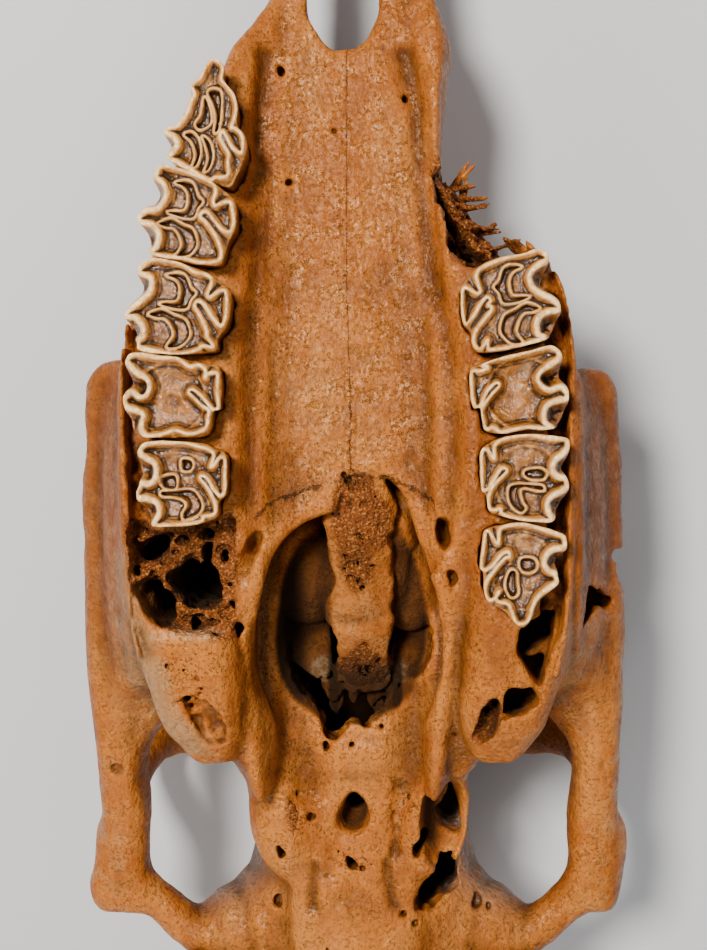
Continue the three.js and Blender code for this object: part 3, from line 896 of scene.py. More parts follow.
OVAL_HOLE = [[19.3, -131], [22.5, -127.5], [24.5, -129.5], [23, -134], [20.5, -137], [19, -135]]
BROKEN_SIDE = [
    [28, 98], [34, 96], [38, 90], [43, 84], [45, 79], [50, 76], [52, 70], [40, 66], [33, 72], [31, 84],
]
BROKEN_EDGE = [
    [27, 98], [31, 103], [36, 101], [45, 91], [54, 82], [58, 76], [53, 71], [42, 69], [34, 76], [30, 86],
]
SPHENOID_PITTING = [
    [[-24, -113], [-12, -114], [-9, -122], [-12, -132], [-20, -130], [-25, -122]],
    [[5, -114], [12, -112], [20, -114], [21, -124], [15, -130], [6, -126]],
    [[-13, -163], [0, -163], [8, -164], [7, -170], [-3, -171], [-13, -170]],
    [[-10, -132], [2, -132], [4, -142], [-5, -145], [-11, -141]],
]
CRUMBLED_END = [
    [-13, -72], [-4, -63], [2, -57], [8, -62], [15, -70], [15, -80], [8, -87], [-2, -86], [-12, -88],
]
TUBER_PORES = [[-60, -58], [-52, -60], [-47, -72], [-50, -78], [-58, -74], [-62, -64]]
KEEL_BREAK = [[-4.5, -136], [-2.5, -137], [0, -139], [-1.5, -140.5], [-4, -139.5]]
KEEL_SIDE_BREAK = [[-29, -129.5], [-27, -131], [-25.5, -134], [-27.5, -136.5], [-29, -134]]

# Small holes as [x, y, radius, how deep]
FORAMINA = [
    [-21, 132, 1.2, 6], [19, 122, 1.1, 6], [-4, 112, 0.8, 1.5], [-19, 96, 1.0, 5], [34, -88, 0.9, 5],
    [-2, -95, 1.2, 6], [-11, -96, 1.4, 7], [9, -89, 0.9, 6], [16, -157, 1.2, 5], [20, -161, 0.9, 4],
    [43, -158, 2.0, 4], [47, -160, 1.2, 4], [-30.5, -156, 2.2, 5], [-17, -121, 1.4, 2], [13, -121, 1.5, 1.5],
    [-86, -105, 2.2, 0.8], [86, -104, 1.4, 0.8],
]


def uneven_ring(x, y, radius):
    """The outline of a small hole, drawn out along y and a little different for each place."""
    corners = 7
    turns = np.arange(corners) * 2 * math.pi / corners
    own = scramble(np.arange(corners), np.full(corners, int(x * 7)), np.full(corners, int(y * 7)), 5)
    reach = radius * (0.75 + 0.6 * own)
    return np.stack((x + reach * np.cos(turns) * 0.9, y + reach * np.sin(turns) * 1.15), axis=1)


def pit_floor(x, y):
    """A rough hollow that deepens to a point at its rear."""
    return 23.5 - 0.42 * (y + 72) + 1.6 * noise(x, y, x * 0, 2.2, 42)


def broken_depth(x, y):
    """The splintered floor where the bone broke away, in sharp leaves that run outwards and back."""
    ridges = noise(0.9 * x + 0.5 * y, (0.9 * y - 0.5 * x) * 0.3, x * 0, 2.4, 83)
    return 31 + 0.55 * (x - 33) + 6.5 * ridges


SPLINTERS = 11


def splinters():
    """Upright leaves of thin bone along the broken edge, each turned a little its own way."""
    pieces = []
    for i in range(SPLINTERS):
        along_edge = i / (SPLINTERS - 1)
        x, y = 31 + 15 * along_edge, 97 - 25 * along_edge
        own = math.sin(2.4 * i + 0.7)
        reach = 3.4 + 1.6 * math.sin(1.7 * i) + 3 * along_edge
        top = 27 + 3 * own
        turn = math.radians(-28 + 24 * own)
        tip_x, tip_y = x + reach * math.cos(turn), y + reach * math.sin(turn)
        foot = [x - 3, y + 1, top + 13, 1.5, 13]
        middle = [(x + tip_x) / 2 + 0.8 * own, (y + tip_y) / 2 - 0.8, top + 12, 1.0, 12]
        pieces += bar([foot, middle, [tip_x, tip_y, top + 15, 0.7, 11]], smooth=3)
    return pieces


def carve_openings(field):
    """Holes, sockets and broken places, cut into the finished outer form."""
    field.cut(prism(VOID_RIM, 50, 100, ragged=1.3, grain=2.4, seed=3), 0.9)
    field.cut(ball([0, -96, 88], [22, 26, 12]), 2)
    field.cut(ball([1, -84, 106], [24, 28, 28]), 2)
    field.add(inner_nose(), 2.5)
    field.add(prism(VOMER_EDGE, vomer_top, 84, ragged=0.9, grain=2.6, round_edge=2, seed=4), 1.0)
    field.add(prism(RAGGED_REAR, ragged_top, 82, ragged=1.0, grain=2.4, seed=6), 1.5)
    field.cut(sponge(SPONGY_VOMER, 20, 52, 3.2, 1.25, seed=11, stretch=(0.8, 1.2, 1.0)), 0.6)
    field.cut(sponge(CRUMBLED_END, 40, 80, 3.4, 1.3, seed=12), 0.6)

    field.cut(prism(SOCKET_AREA, -5, 19, ragged=0.8, narrowing=0.05), 1.5)
    field.cut(sponge(SOCKET_AREA, 8, 34, 4.0, 1.75, seed=21, stretch=(1.3, 0.9, 1.0)), 0.7)
    for i, outline in enumerate(DEEP_SOCKETS):
        field.cut(prism(outline, 4, 60, ragged=1.3, grain=3.5, narrowing=0.03, seed=30 + i, grow=0.9), 1.2)
    for x, y, radius in SMALL_SOCKETS:
        field.cut(prism(uneven_ring(x, y, radius), 6, 40, ragged=0.5, grain=2, narrowing=0.04), 0.8)
    field.cut(prism(REAR_PIT, 8, pit_floor, ragged=0.7, grain=2, seed=41), 1.0)
    field.cut(sponge(TUBER_PORES, 8, 27, 3.0, 1.0, seed=43), 0.5)

    field.cut(prism(LEFT_BREAK, 4, 52, ragged=0.6, seed=51), 1.0)
    field.cut(prism(LEFT_BREAK_REAR, 4, 60, ragged=0.6, seed=52), 1.0)
    field.cut(ball([57, -62, 46], [13, 19, 17]), 2)
    field.cut(prism(LEFT_PIT, 10, 34, ragged=0.5, seed=53), 1.2)
    field.cut(sponge(LEFT_PIT, 20, 40, 3.0, 1.2, seed=54), 0.6)
    field.add(bar([[50, -55, 27, 1.6, 9], [55, -63, 27, 1.3, 9], [62, -72, 30, 1.6, 9]]), 1.5)
    field.add(bar([[67, -56, 34, 1.4, 12], [58, -60, 44, 1.2, 10], [52, -72, 46, 1.6, 12]]), 1.5)

    field.cut(prism(TEARDROP, 55, 80, ragged=0.4, narrowing=0.22, grow=2.8), 1.2)
    field.cut(tunnel([-1, -120, 66], [-1, -116, 96], 4.0), 1.0)
    field.cut(prism(KEEL_BREAK, 55, 84, ragged=0.5), 0.8)
    field.cut(ball([31, -125, 65], [9.5, 17, 15]), 2.5)
    field.cut(prism(RIGHT_TEMPORAL_HOLE, 60, 118, ragged=1.2, grain=2.4, seed=61), 1.0)
    field.cut(prism(WEDGE_HOLE, 60, 112, ragged=0.5, seed=62), 1.0)
    field.cut(prism(OVAL_HOLE, 60, 108, ragged=0.4, seed=63), 1.0)
    field.cut(prism(KEEL_SIDE_BREAK, 60, 92, ragged=0.3), 0.8)
    for i, outline in enumerate(SPHENOID_PITTING):
        field.cut(sponge(outline, 60, 71, 3.4, 1.0, seed=70 + i), 0.5)

    field.cut(prism(BROKEN_SIDE, 10, broken_depth, ragged=1.8, grain=2.6, seed=81), 0.7)
    field.cut(sponge(BROKEN_SIDE, 12, 56, 3.4, 1.7, seed=82, stretch=(0.7, 1.4, 1.6)), 0.6)
    field.cut(leaves(BROKEN_EDGE, 12, 60, 3.6, 84), 0.6)
    field.add(splinters(), 0.6)
    for x, y, radius, deep in FORAMINA:
        top = field.top_at(x, y)
        field.cut(prism(uneven_ring(x, y, radius), top - 3, top + deep, ragged=0.3, grain=1.6), 1.0)


PALATINE_PITS = [
    [[-33.5, -20], [-28.5, -19], [-29, -24], [-30.5, -28], [-33, -31], [-34.5, -27]],
    [[28, -15], [31.3, -15], [32.5, -18.5], [32, -22.5], [30, -24], [27.6, -21]],
    [[31.3, -31.5], [33.4, -31.5], [34, -34], [33, -36], [31.7, -34]],
]
PEBBLE = [33.2, -33.6, 27]  # a bit of pale bone lodged in the smallest pit
RIGHT_GROOVE = [[-25, 135], [-25.5, 115], [-26, 95], [-27.5, 75], [-29, 57], [-30, 42], [-31, 8], [-31, -16]]
LEFT_GROOVE = [[19, 135], [22.5, 115], [25.5, 81], [28, 57], [31, 42], [32, 8], [30, -14]]


def groove(field, line, width, deep):
    """A shallow furrow that follows the surface under the line."""
    rows = [[x, y, field.top_at(x, y) + deep - width, width, width] for x, y in line]
    field.cut(bar(rows, smooth=6), 4)


def cut_sockets(field):
    """The bone stands back a little from each crown, and more on the cheek side."""
    for side in SIDES:
        field.cut(socket_gap(side), 0.8)
    for crown in CROWNS:
        field.cut(prism(crown.body, -5, 22, ragged=0.5, grain=2.2, narrowing=0.08, grow=0.9), 1.0)


def shape_palate(field):
    groove(field, RIGHT_GROOVE, 3.0, 0.9)
    groove(field, LEFT_GROOVE, 3.0, 1.0)
    hollow, *holes = PALATINE_PITS
    field.cut(prism(hollow, 8, 34, ragged=0.5, narrowing=0.1), 1.2)
    for outline in holes:
        field.cut(prism(outline, 8, 34, ragged=0.6, grain=2, narrowing=0.1, grow=1.2), 1.2)
    field.add(ball(PEBBLE, [1.5, 1.5, 1.5]), 0.3)


def shape_sphenoid(field):
    """Furrows beside the middle of the skull base, and troughs inside the blades."""
    field.cut(bar([[-20, -78, 56, 8, 7], [-18, -98, 58, 7, 6], [-17, -112, 62, 5, 4]]), 6)
    field.cut(bar([[19, -78, 56, 7, 7], [18, -98, 58, 6, 6], [17, -110, 62, 5, 4]]), 6)
    groove(field, [[-15, -139], [-16, -146], [-17, -154]], 0.9, 0.5)
    groove(field, [[10, -138], [11, -146], [13, -154]], 0.9, 0.5)
    groove(field, [[-5, -126], [-9, -134], [-11, -142]], 1.6, 0.7)
    groove(field, [[16, -112], [14, -124], [13, -134]], 1.4, 1.0)
    groove(field, [[-30, -20], [-33, -26], [-36, -34]], 2.0, 0.8)


ARCH_SLOT = [
    [76, -38], [80, -38], [84, -41], [88, -43], [86, -46], [81, -45.5], [78, -49], [75.5, -52], [74.5, -46],
]


def damage_arches(field):
    """Flaked and notched edges of the cheek arches."""
    field.cut(ball([96, -33, 58], [7, 7, 14]), 2)
    field.cut(ball([91, -28.5, 50], [3, 2.6, 30]), 1)
    field.cut(prism(ARCH_SLOT, 30, 60, ragged=0.8, seed=95), 1.2)
    field.cut(ball([98, -8, 55], [4, 16, 12]), 3)
    field.cut(ball([-97.5, 12, 50], [4, 9, 14]), 4)
    field.cut(ball([-99, -22, 50], [4.2, 7, 12]), 3)
    field.cut(ball([98, -68, 60], [4, 9, 14]), 3)


def roughen(field):
    """Small unevenness all over: broad dents, low ripples and fine lumps."""
    cells, x, y, d = field.near(3.0)
    bumps = 0.55 * noise(x, y, d, 16, 101) + 0.28 * noise(x, y, d, 6.5, 102)
    bumps += 0.16 * noise(x + 0.5 * y, y - 0.5 * x, d, 3.1, 103)
    field.value[cells] += bumps


def build_bone():
    """The finished bone, and the bone before anything was broken out of it."""
    field = build_masses()
    shape_palate(field)
    whole = field.copy()
    cut_sockets(field)
    shape_sphenoid(field)
    carve_openings(field)
    damage_arches(field)
    roughen(field)
    return field, whole


# ---- Painted masks of the bone -------------------------------------------------------------------

NO_SEAM = 9.0  # mm, farther than any suture's line reaches
MEDIAN_SUTURE = [[0.5, 142], [0, 100], [-0.5, 60], [0.5, 20], [0, -1]]
PALATINE_SUTURE = [
    [-31, -14], [-26, -9], [-20, -6.5], [-13, -4], [-4, -1.5], [0, -0.5], [8, 0], [16, -3], [23, -6],
    [27, -9], [28, -15],
]
RUST_PATCHES = [SOCKET_AREA, SPONGY_VOMER, BROKEN_SIDE, BROKEN_EDGE, LEFT_PIT, CRUMBLED_END]
RUST_PATCHES += SPHENOID_PITTING
# Where the surface is worn into pits: middle x, middle y, reach across, reach along
PITTED = [
    [-3, 72, 5, 22], [-55, -62, 8, 12], [-1, -137, 8, 7], [17, -124, 5, 14], [-20, -123, 6, 8],
    [40, -60, 4, 20],
]
RIGHT_TUBER_GREY = [
    [-74, -20], [-66, -42], [-60, -56], [-56, -74], [-46, -92], [-62, -92], [-78, -74], [-80, -30],
]
LEFT_TUBER_GREY = [[74, -44], [70, -62], [62, -78], [50, -92], [62, -94], [74, -80], [82, -60], [80, -44]]


def patch(corners, x, y, soft):
    """1 inside the outline, falling to 0 outside it."""
    away = outline_distance(smooth_loop(corners), x, y)
    return ramp(soft, -soft, away)


def creases(field, points, reach):
    """Negative where the surface is hollow, positive where it stands out."""
    diagonal = reach / math.sqrt(3)
    ways = [(a * diagonal, b * diagonal, c * diagonal) for a in (-1, 1) for b in (-1, 1) for c in (-1, 1)]
    ways += [(reach, 0, 0), (-reach, 0, 0), (0, reach, 0), (0, -reach, 0), (0, 0, reach), (0, 0, -reach)]
    total = np.zeros(len(points), np.float32)
    for way in ways:
        total += np.clip(field.at(points + np.array(way)), -reach, reach)
    return total / (len(ways) * reach) * 2.5


def seam_mask(x, y, d):
    """Signed distance in mm across the nearest suture of the palate."""
    palate_side = d < 34
    median = x - np.interp(y, *np.array(MEDIAN_SUTURE[::-1]).T[::-1])
    median = median * (1 + 1.5 * ramp(20, 34, y))
    median = np.where(palate_side & (y > 2) & (y < 142), median, NO_SEAM)
    palatine = 0.6 * (y - np.interp(x, *np.array(PALATINE_SUTURE).T))
    palatine = np.where(palate_side & (x > -31) & (x < 28) & (y > -18), palatine, NO_SEAM)
    seam = np.where(np.abs(median) < np.abs(palatine), median, palatine)
    away = np.abs(seam)
    return np.where(away == np.abs(median), np.sign(seam) * (away + 0.2), seam)


def cool_mask(x, y, d):
    """Grey brown on the walls of the openings behind the eyes."""
    side_view = (np.abs(x) > 30) & (d > 78) & (y < -100) & (y > -168)
    cool = np.where(side_view, ramp(78, 96, d) * ramp(-100, -112, y) * ramp(-170, -156, y), 0)
    return cool * ramp(66, 54, np.abs(x)) * 0.8


def grey_mask(x, y, d):
    """Paler, greyer bone on the swellings behind the rows, the blades, the arches and the vomer."""
    blades = ramp(6, 0, np.abs(np.abs(x) - 30)) * ramp(-56, -72, y) * ramp(-120, -108, y)
    blades = 0.35 * blades * ramp(64, 54, d)
    arches = ramp(82, 88, np.abs(x)) * ramp(-80, -110, y) * 0.5
    vomer = ramp(14, 10, np.abs(x - 3)) * ramp(-26, -44, y) * ramp(-90, -78, y) * (d < 80)
    grey = np.maximum(patch(RIGHT_TUBER_GREY, x, y, 6), 0.8 * patch(LEFT_TUBER_GREY, x, y, 6))
    return np.maximum(np.maximum(grey, blades), np.maximum(arches, vomer * 0.45)) * 0.8


def nose_shadow(x, y, d):
    """How deep the painted shade lies inside the rear of the nose, in the same mm as the depth inside the
    unbroken bone.
    """
    rim = outline_distance(smooth_loop(CHOANA_RIM), x, y)
    beside = np.abs(x - 3)
    darkest = 6.5 + 6.0 * ramp(9, 12, beside) + 4.0 * ramp(18, 27, beside)
    darkest += 7.5 * ramp(-56, -74, y) * ramp(14, 11, beside)
    lit_rear = ramp(-58, -72, y) * ramp(15, 19, beside)
    steepness = 0.9 + 0.5 * ramp(-8, -20, x) - 0.5 * lit_rear
    shadow = ramp(1.5, -2.5, rim) * np.clip((d - 28) * steepness, 0, darkest) * (d < 130)
    # Painted shadow: the deep chamber behind the nose and the flaps at the rim of the void go nearly black
    deep = ramp(71, 82, d) * (np.abs(x) < 27) * ramp(-116, -110, y) * ramp(6, -6, y)
    void = outline_distance(smooth_loop(VOID_RIM), x, y)
    flap = ramp(-71, -76, y) * ramp(0.5, -2.0, void) * ramp(52, 60, d)
    return np.maximum(shadow, np.maximum(20 * deep, 12 * flap) * (d < 137))


def painted_shade_mask(x, y, d):
    """Painted shade: darker, redder bone along the arches, on the ridges beside the palate, along the
    palate's sides and furrows, and towards the muzzle.
    """
    painted_shade = ramp(64, 76, np.abs(x)) * ramp(-100, -10, y) * np.where(x < 0, 0.85, 1.1) * (d < 110)
    inner_ridge = ramp(34, 38, x) * ramp(52, 47, x) * ramp(-70, -30, y) * ramp(84, 70, y)
    palate_sides = ramp(17, 27, np.abs(x)) * ramp(-16, 4, y) * ramp(150, 128, y) * (d < 30)
    shade_parts = [painted_shade, 0.9 * inner_ridge * (d < 30), 0.38 * ramp(40, 110, y) * (d < 60)]
    shade_parts.append(np.where(x < 0, 0.18, 0.42) * palate_sides)
    for line in (RIGHT_GROOVE, LEFT_GROOVE):
        beside_line = x - np.interp(y, *np.array(line[::-1]).T[::-1])
        furrow = np.exp(-((beside_line / 2.8) ** 2)) * ramp(-20, 0, y) * ramp(150, 130, y)
        shade_parts.append(0.8 * furrow * (d < 32))
    return np.maximum.reduce(shade_parts)


def bone_masks(field, whole, points):
    """What the bone's material needs to know at each point."""
    x, y, d = (points[:, k].astype(np.float32) for k in range(3))
    rust = np.zeros(len(x), np.float32)
    for corners in RUST_PATCHES:
        rust = np.maximum(rust, patch(corners, x, y, 1.6))
    pitted = np.zeros(len(x), np.float32)
    for px, py, across, lengthways in PITTED:
        pitted = np.maximum(pitted, ramp(1.2, 0.4, np.hypot((x - px) / across, (y - py) / lengthways)))
    pebble = ramp(2.2, 1.4, np.hypot(np.hypot(x - PEBBLE[0], y - PEBBLE[1]), d - PEBBLE[2]))
    tips = ramp(6, 3, np.hypot(x + 12, y + 69)) + ramp(5, 2.5, np.hypot(x - 14.5, y + 69.5))
    broken_rim = ramp(2.5, 0.5, np.abs(y + 51)) * ramp(-68, -60, x) * ramp(-40, -46, x) * (d < 24)
    # Painted shade: how deep a point lies inside the unbroken bone, with the painted shadow inside the rear
    # of the nose
    recess_shade = np.maximum(np.clip(-whole.at(points), 0, 20), nose_shadow(x, y, d))
    return {
        "recess_shade": recess_shade * (1 - pebble),
        "painted_shade": painted_shade_mask(x, y, d),
        "crease_shade": creases(field, points, 2.6) * 0.6 + creases(field, points, 6.0) * 0.6,
        "seam": seam_mask(x, y, d),
        "spongy": rust * (d < 60),
        "grey": grey_mask(x, y, d),
        "cool": cool_mask(x, y, d),
        "pitted": pitted,
        "pale": np.clip(tips * (d > 50) + 0.35 * broken_rim + pebble, 0, 1),
    }


# ---- Cheek teeth ---------------------------------------------------------------------------------


# The enlarged views that the crowns are drawn in: the picture's pixel at their corner, and the enlargement
FRONT_LEFT_VIEW = (110, 50, 7.13)
MIDDLE_LEFT_VIEW = (105, 250, 7.84)
REAR_LEFT_VIEW = (105, 430, 7.127)
FRONT_RIGHT_VIEW = (450, 240, 7.84)
REAR_RIGHT_VIEW = (450, 425, 7.29)


def on_chewing_surface(view, points):
    """Pixels of an enlarged view, as rows of x and y in mm where the camera sees the chewing surface."""
    corner_x, corner_y, enlargement = view
    rows = np.array(points, float) / enlargement
    right = rows[:, 0] + corner_x - PICTURE_WIDTH / 2
    down = rows[:, 1] + corner_y - PICTURE_HEIGHT / 2
    across = right * math.cos(CAMERA_ROLL) + down * math.sin(CAMERA_ROLL)
    below = down * math.cos(CAMERA_ROLL) - right * math.sin(CAMERA_ROLL)
    foreshortening = math.cos(CAMERA_LEAN) + across * math.sin(CAMERA_LEAN) / FOCAL_PIXELS
    x = across * CAMERA_HEIGHT / FOCAL_PIXELS / foreshortening
    y = -below * (CAMERA_HEIGHT - x * math.sin(CAMERA_LEAN)) / FOCAL_PIXELS
    return np.stack((x + CAMERA_X, y), axis=1)


RIDGE_CHEEK = 0.85  # half width of the enamel on the cheek side, mm
RIDGE_TONGUE = 0.4  # half width of the enamel on the tongue side
RIDGE_ISLAND = 0.35  # half width of the enamel round an island
FOLD_LINES = 0.13  # height of the fine lines that run beside the enamel
DENTINE_DEPTH = 2.3  # how far the dentine is worn below the enamel
CEMENT_DEPTH = 2.1  # how far the cement outside the enamel lies below it
TONGUE_SLOPE = 0.35  # how steeply the cement falls away from the enamel
CHEEK_SLOPE = 2.6
ISLAND_DROP = 2.2  # how much deeper the islands lie than the dentine
CROWN_BOTTOM = 19.0  # the crowns end inside the bone at this depth


class Crown:
    """A cheek tooth's worn face, drawn in the pixels of an enlarged view of the chewing surface.

    The enamel stands in a folded ridge round the crown and in a thin ridge round each island of cement.
    Shared islands are in fractions of the crown, from cheek side to tongue side and from front to back.
    """

    def __init__(self, name, side, view, body, enamel, islands=(), shared_islands=(), basin=0.0):
        self.name = name
        self.side = side
        self.body = on_chewing_surface(view, body)
        away = np.abs(self.body[:, 0])
        self.cheek = away.max()
        self.width = self.cheek - away.min()
        self.front = self.body[:, 1].max()
        self.length = self.front - self.body[:, 1].min()
        self.basin = basin
        self.basin_free = 1 - min(basin, 1)
        self.enamel = on_chewing_surface(view, enamel)
        self.islands = [on_chewing_surface(view, island) for island in islands]
        self.islands += [self.placed(island) for island in shared_islands]

    def placed(self, fractions):
        """Fractions of the crown, as x and y in mm."""
        rows = np.array(fractions, float)
        x = self.side * (self.cheek - rows[:, 0] * self.width)
        return np.stack((x, self.front - rows[:, 1] * self.length), axis=1)

    def cheekward(self, x):
        """0 at the tongue side of the crown, 1 at the cheek side."""
        return 1 - (self.cheek - np.abs(x)) / self.width

    def marks(self, x, y):
        """Distances in mm from the enamel ridge and from the islands, at arrays of x and y."""
        ring = smooth_loop(self.enamel)
        half_width = RIDGE_TONGUE + (RIDGE_CHEEK - RIDGE_TONGUE) * ramp(0.55, 0.85, self.cheekward(x))
        ridge = edge_distance(np.vstack([ring, ring[:1]]), x, y) - half_width
        island = np.full(np.shape(ridge), FAR, np.float32)
        for corners in self.islands:
            loop = smooth_loop(corners)
            island = np.minimum(island, outline_distance(loop, x, y))
        return ridge, inside_loop(ring, x, y), island

    def top(self, x, y):
        """Depth of the worn face at arrays of x and y."""
        ridge, inside, island = self.marks(x, y)
        flat = np.zeros(np.shape(ridge), np.float32)
        grain = 0.55 * noise(x, y, flat, 4.2, 7) + 0.14 * noise(x, y, flat, 1.5, 8)
        away = np.clip(ridge, 0, 2.4)
        slope = TONGUE_SLOPE + (CHEEK_SLOPE - TONGUE_SLOPE) * ramp(0.5, 0.62, self.cheekward(x))
        fold_lines = FOLD_LINES * np.sin(ridge * 6.3) * ramp(0.2, 1.0, ridge) * ramp(3.4, 2.0, ridge)
        dentine = DENTINE_DEPTH + 0.35 * away + fold_lines
        floor = np.where(inside, dentine, CEMENT_DEPTH + slope * away) + grain
        across = (np.abs(x) - (self.cheek - self.width * 0.46)) / (self.width * 0.36)
        lengthways = (y - (self.front - self.length * 0.54)) / (self.length * 0.40)
        bowl = np.clip(1 - across**2 - lengthways**2, 0, 1)
        floor = floor + self.basin * (2.4 * np.sqrt(bowl) + bowl * 0.9 * noise(x, y, flat, 4.5, 9))
        floor = np.where(island < 0, floor + ISLAND_DROP * np.clip(-island / 0.8, 0, 1), floor)
        near_island = ramp(0.3, 0.8, island) * ramp(2.8, 1.6, island)
        floor = floor + self.basin_free * FOLD_LINES * np.sin(island * 6.3 + 1) * near_island
        rim = ramp(RIDGE_ISLAND + 0.9, RIDGE_ISLAND - 0.5, np.abs(island))
        floor = floor - rim * np.clip(floor - 0.7 - 0.4 * noise(x, y, flat, 3.0, 12), 0, 1.4)
        crest = 0.3 + 0.45 * noise(x, y, flat, 7, 10) + 0.18 * noise(x, y, flat, 2.5, 13)
        tall = ramp(1.7, -0.7, ridge)
        return floor + (crest - floor) * tall


PREMOLAR_ISLANDS = [
    [
        [0.38, 0.17], [0.49, 0.15], [0.57, 0.19], [0.61, 0.30], [0.66, 0.36], [0.61, 0.43], [0.57, 0.52],
        [0.45, 0.52], [0.31, 0.47], [0.36, 0.45], [0.48, 0.44], [0.51, 0.31], [0.47, 0.22],
    ],
    [
        [0.21, 0.57], [0.33, 0.52], [0.45, 0.58], [0.56, 0.64], [0.60, 0.78], [0.54, 0.88], [0.45, 0.93],
        [0.38, 0.91], [0.44, 0.80], [0.42, 0.70], [0.36, 0.62], [0.28, 0.61],
    ],
]

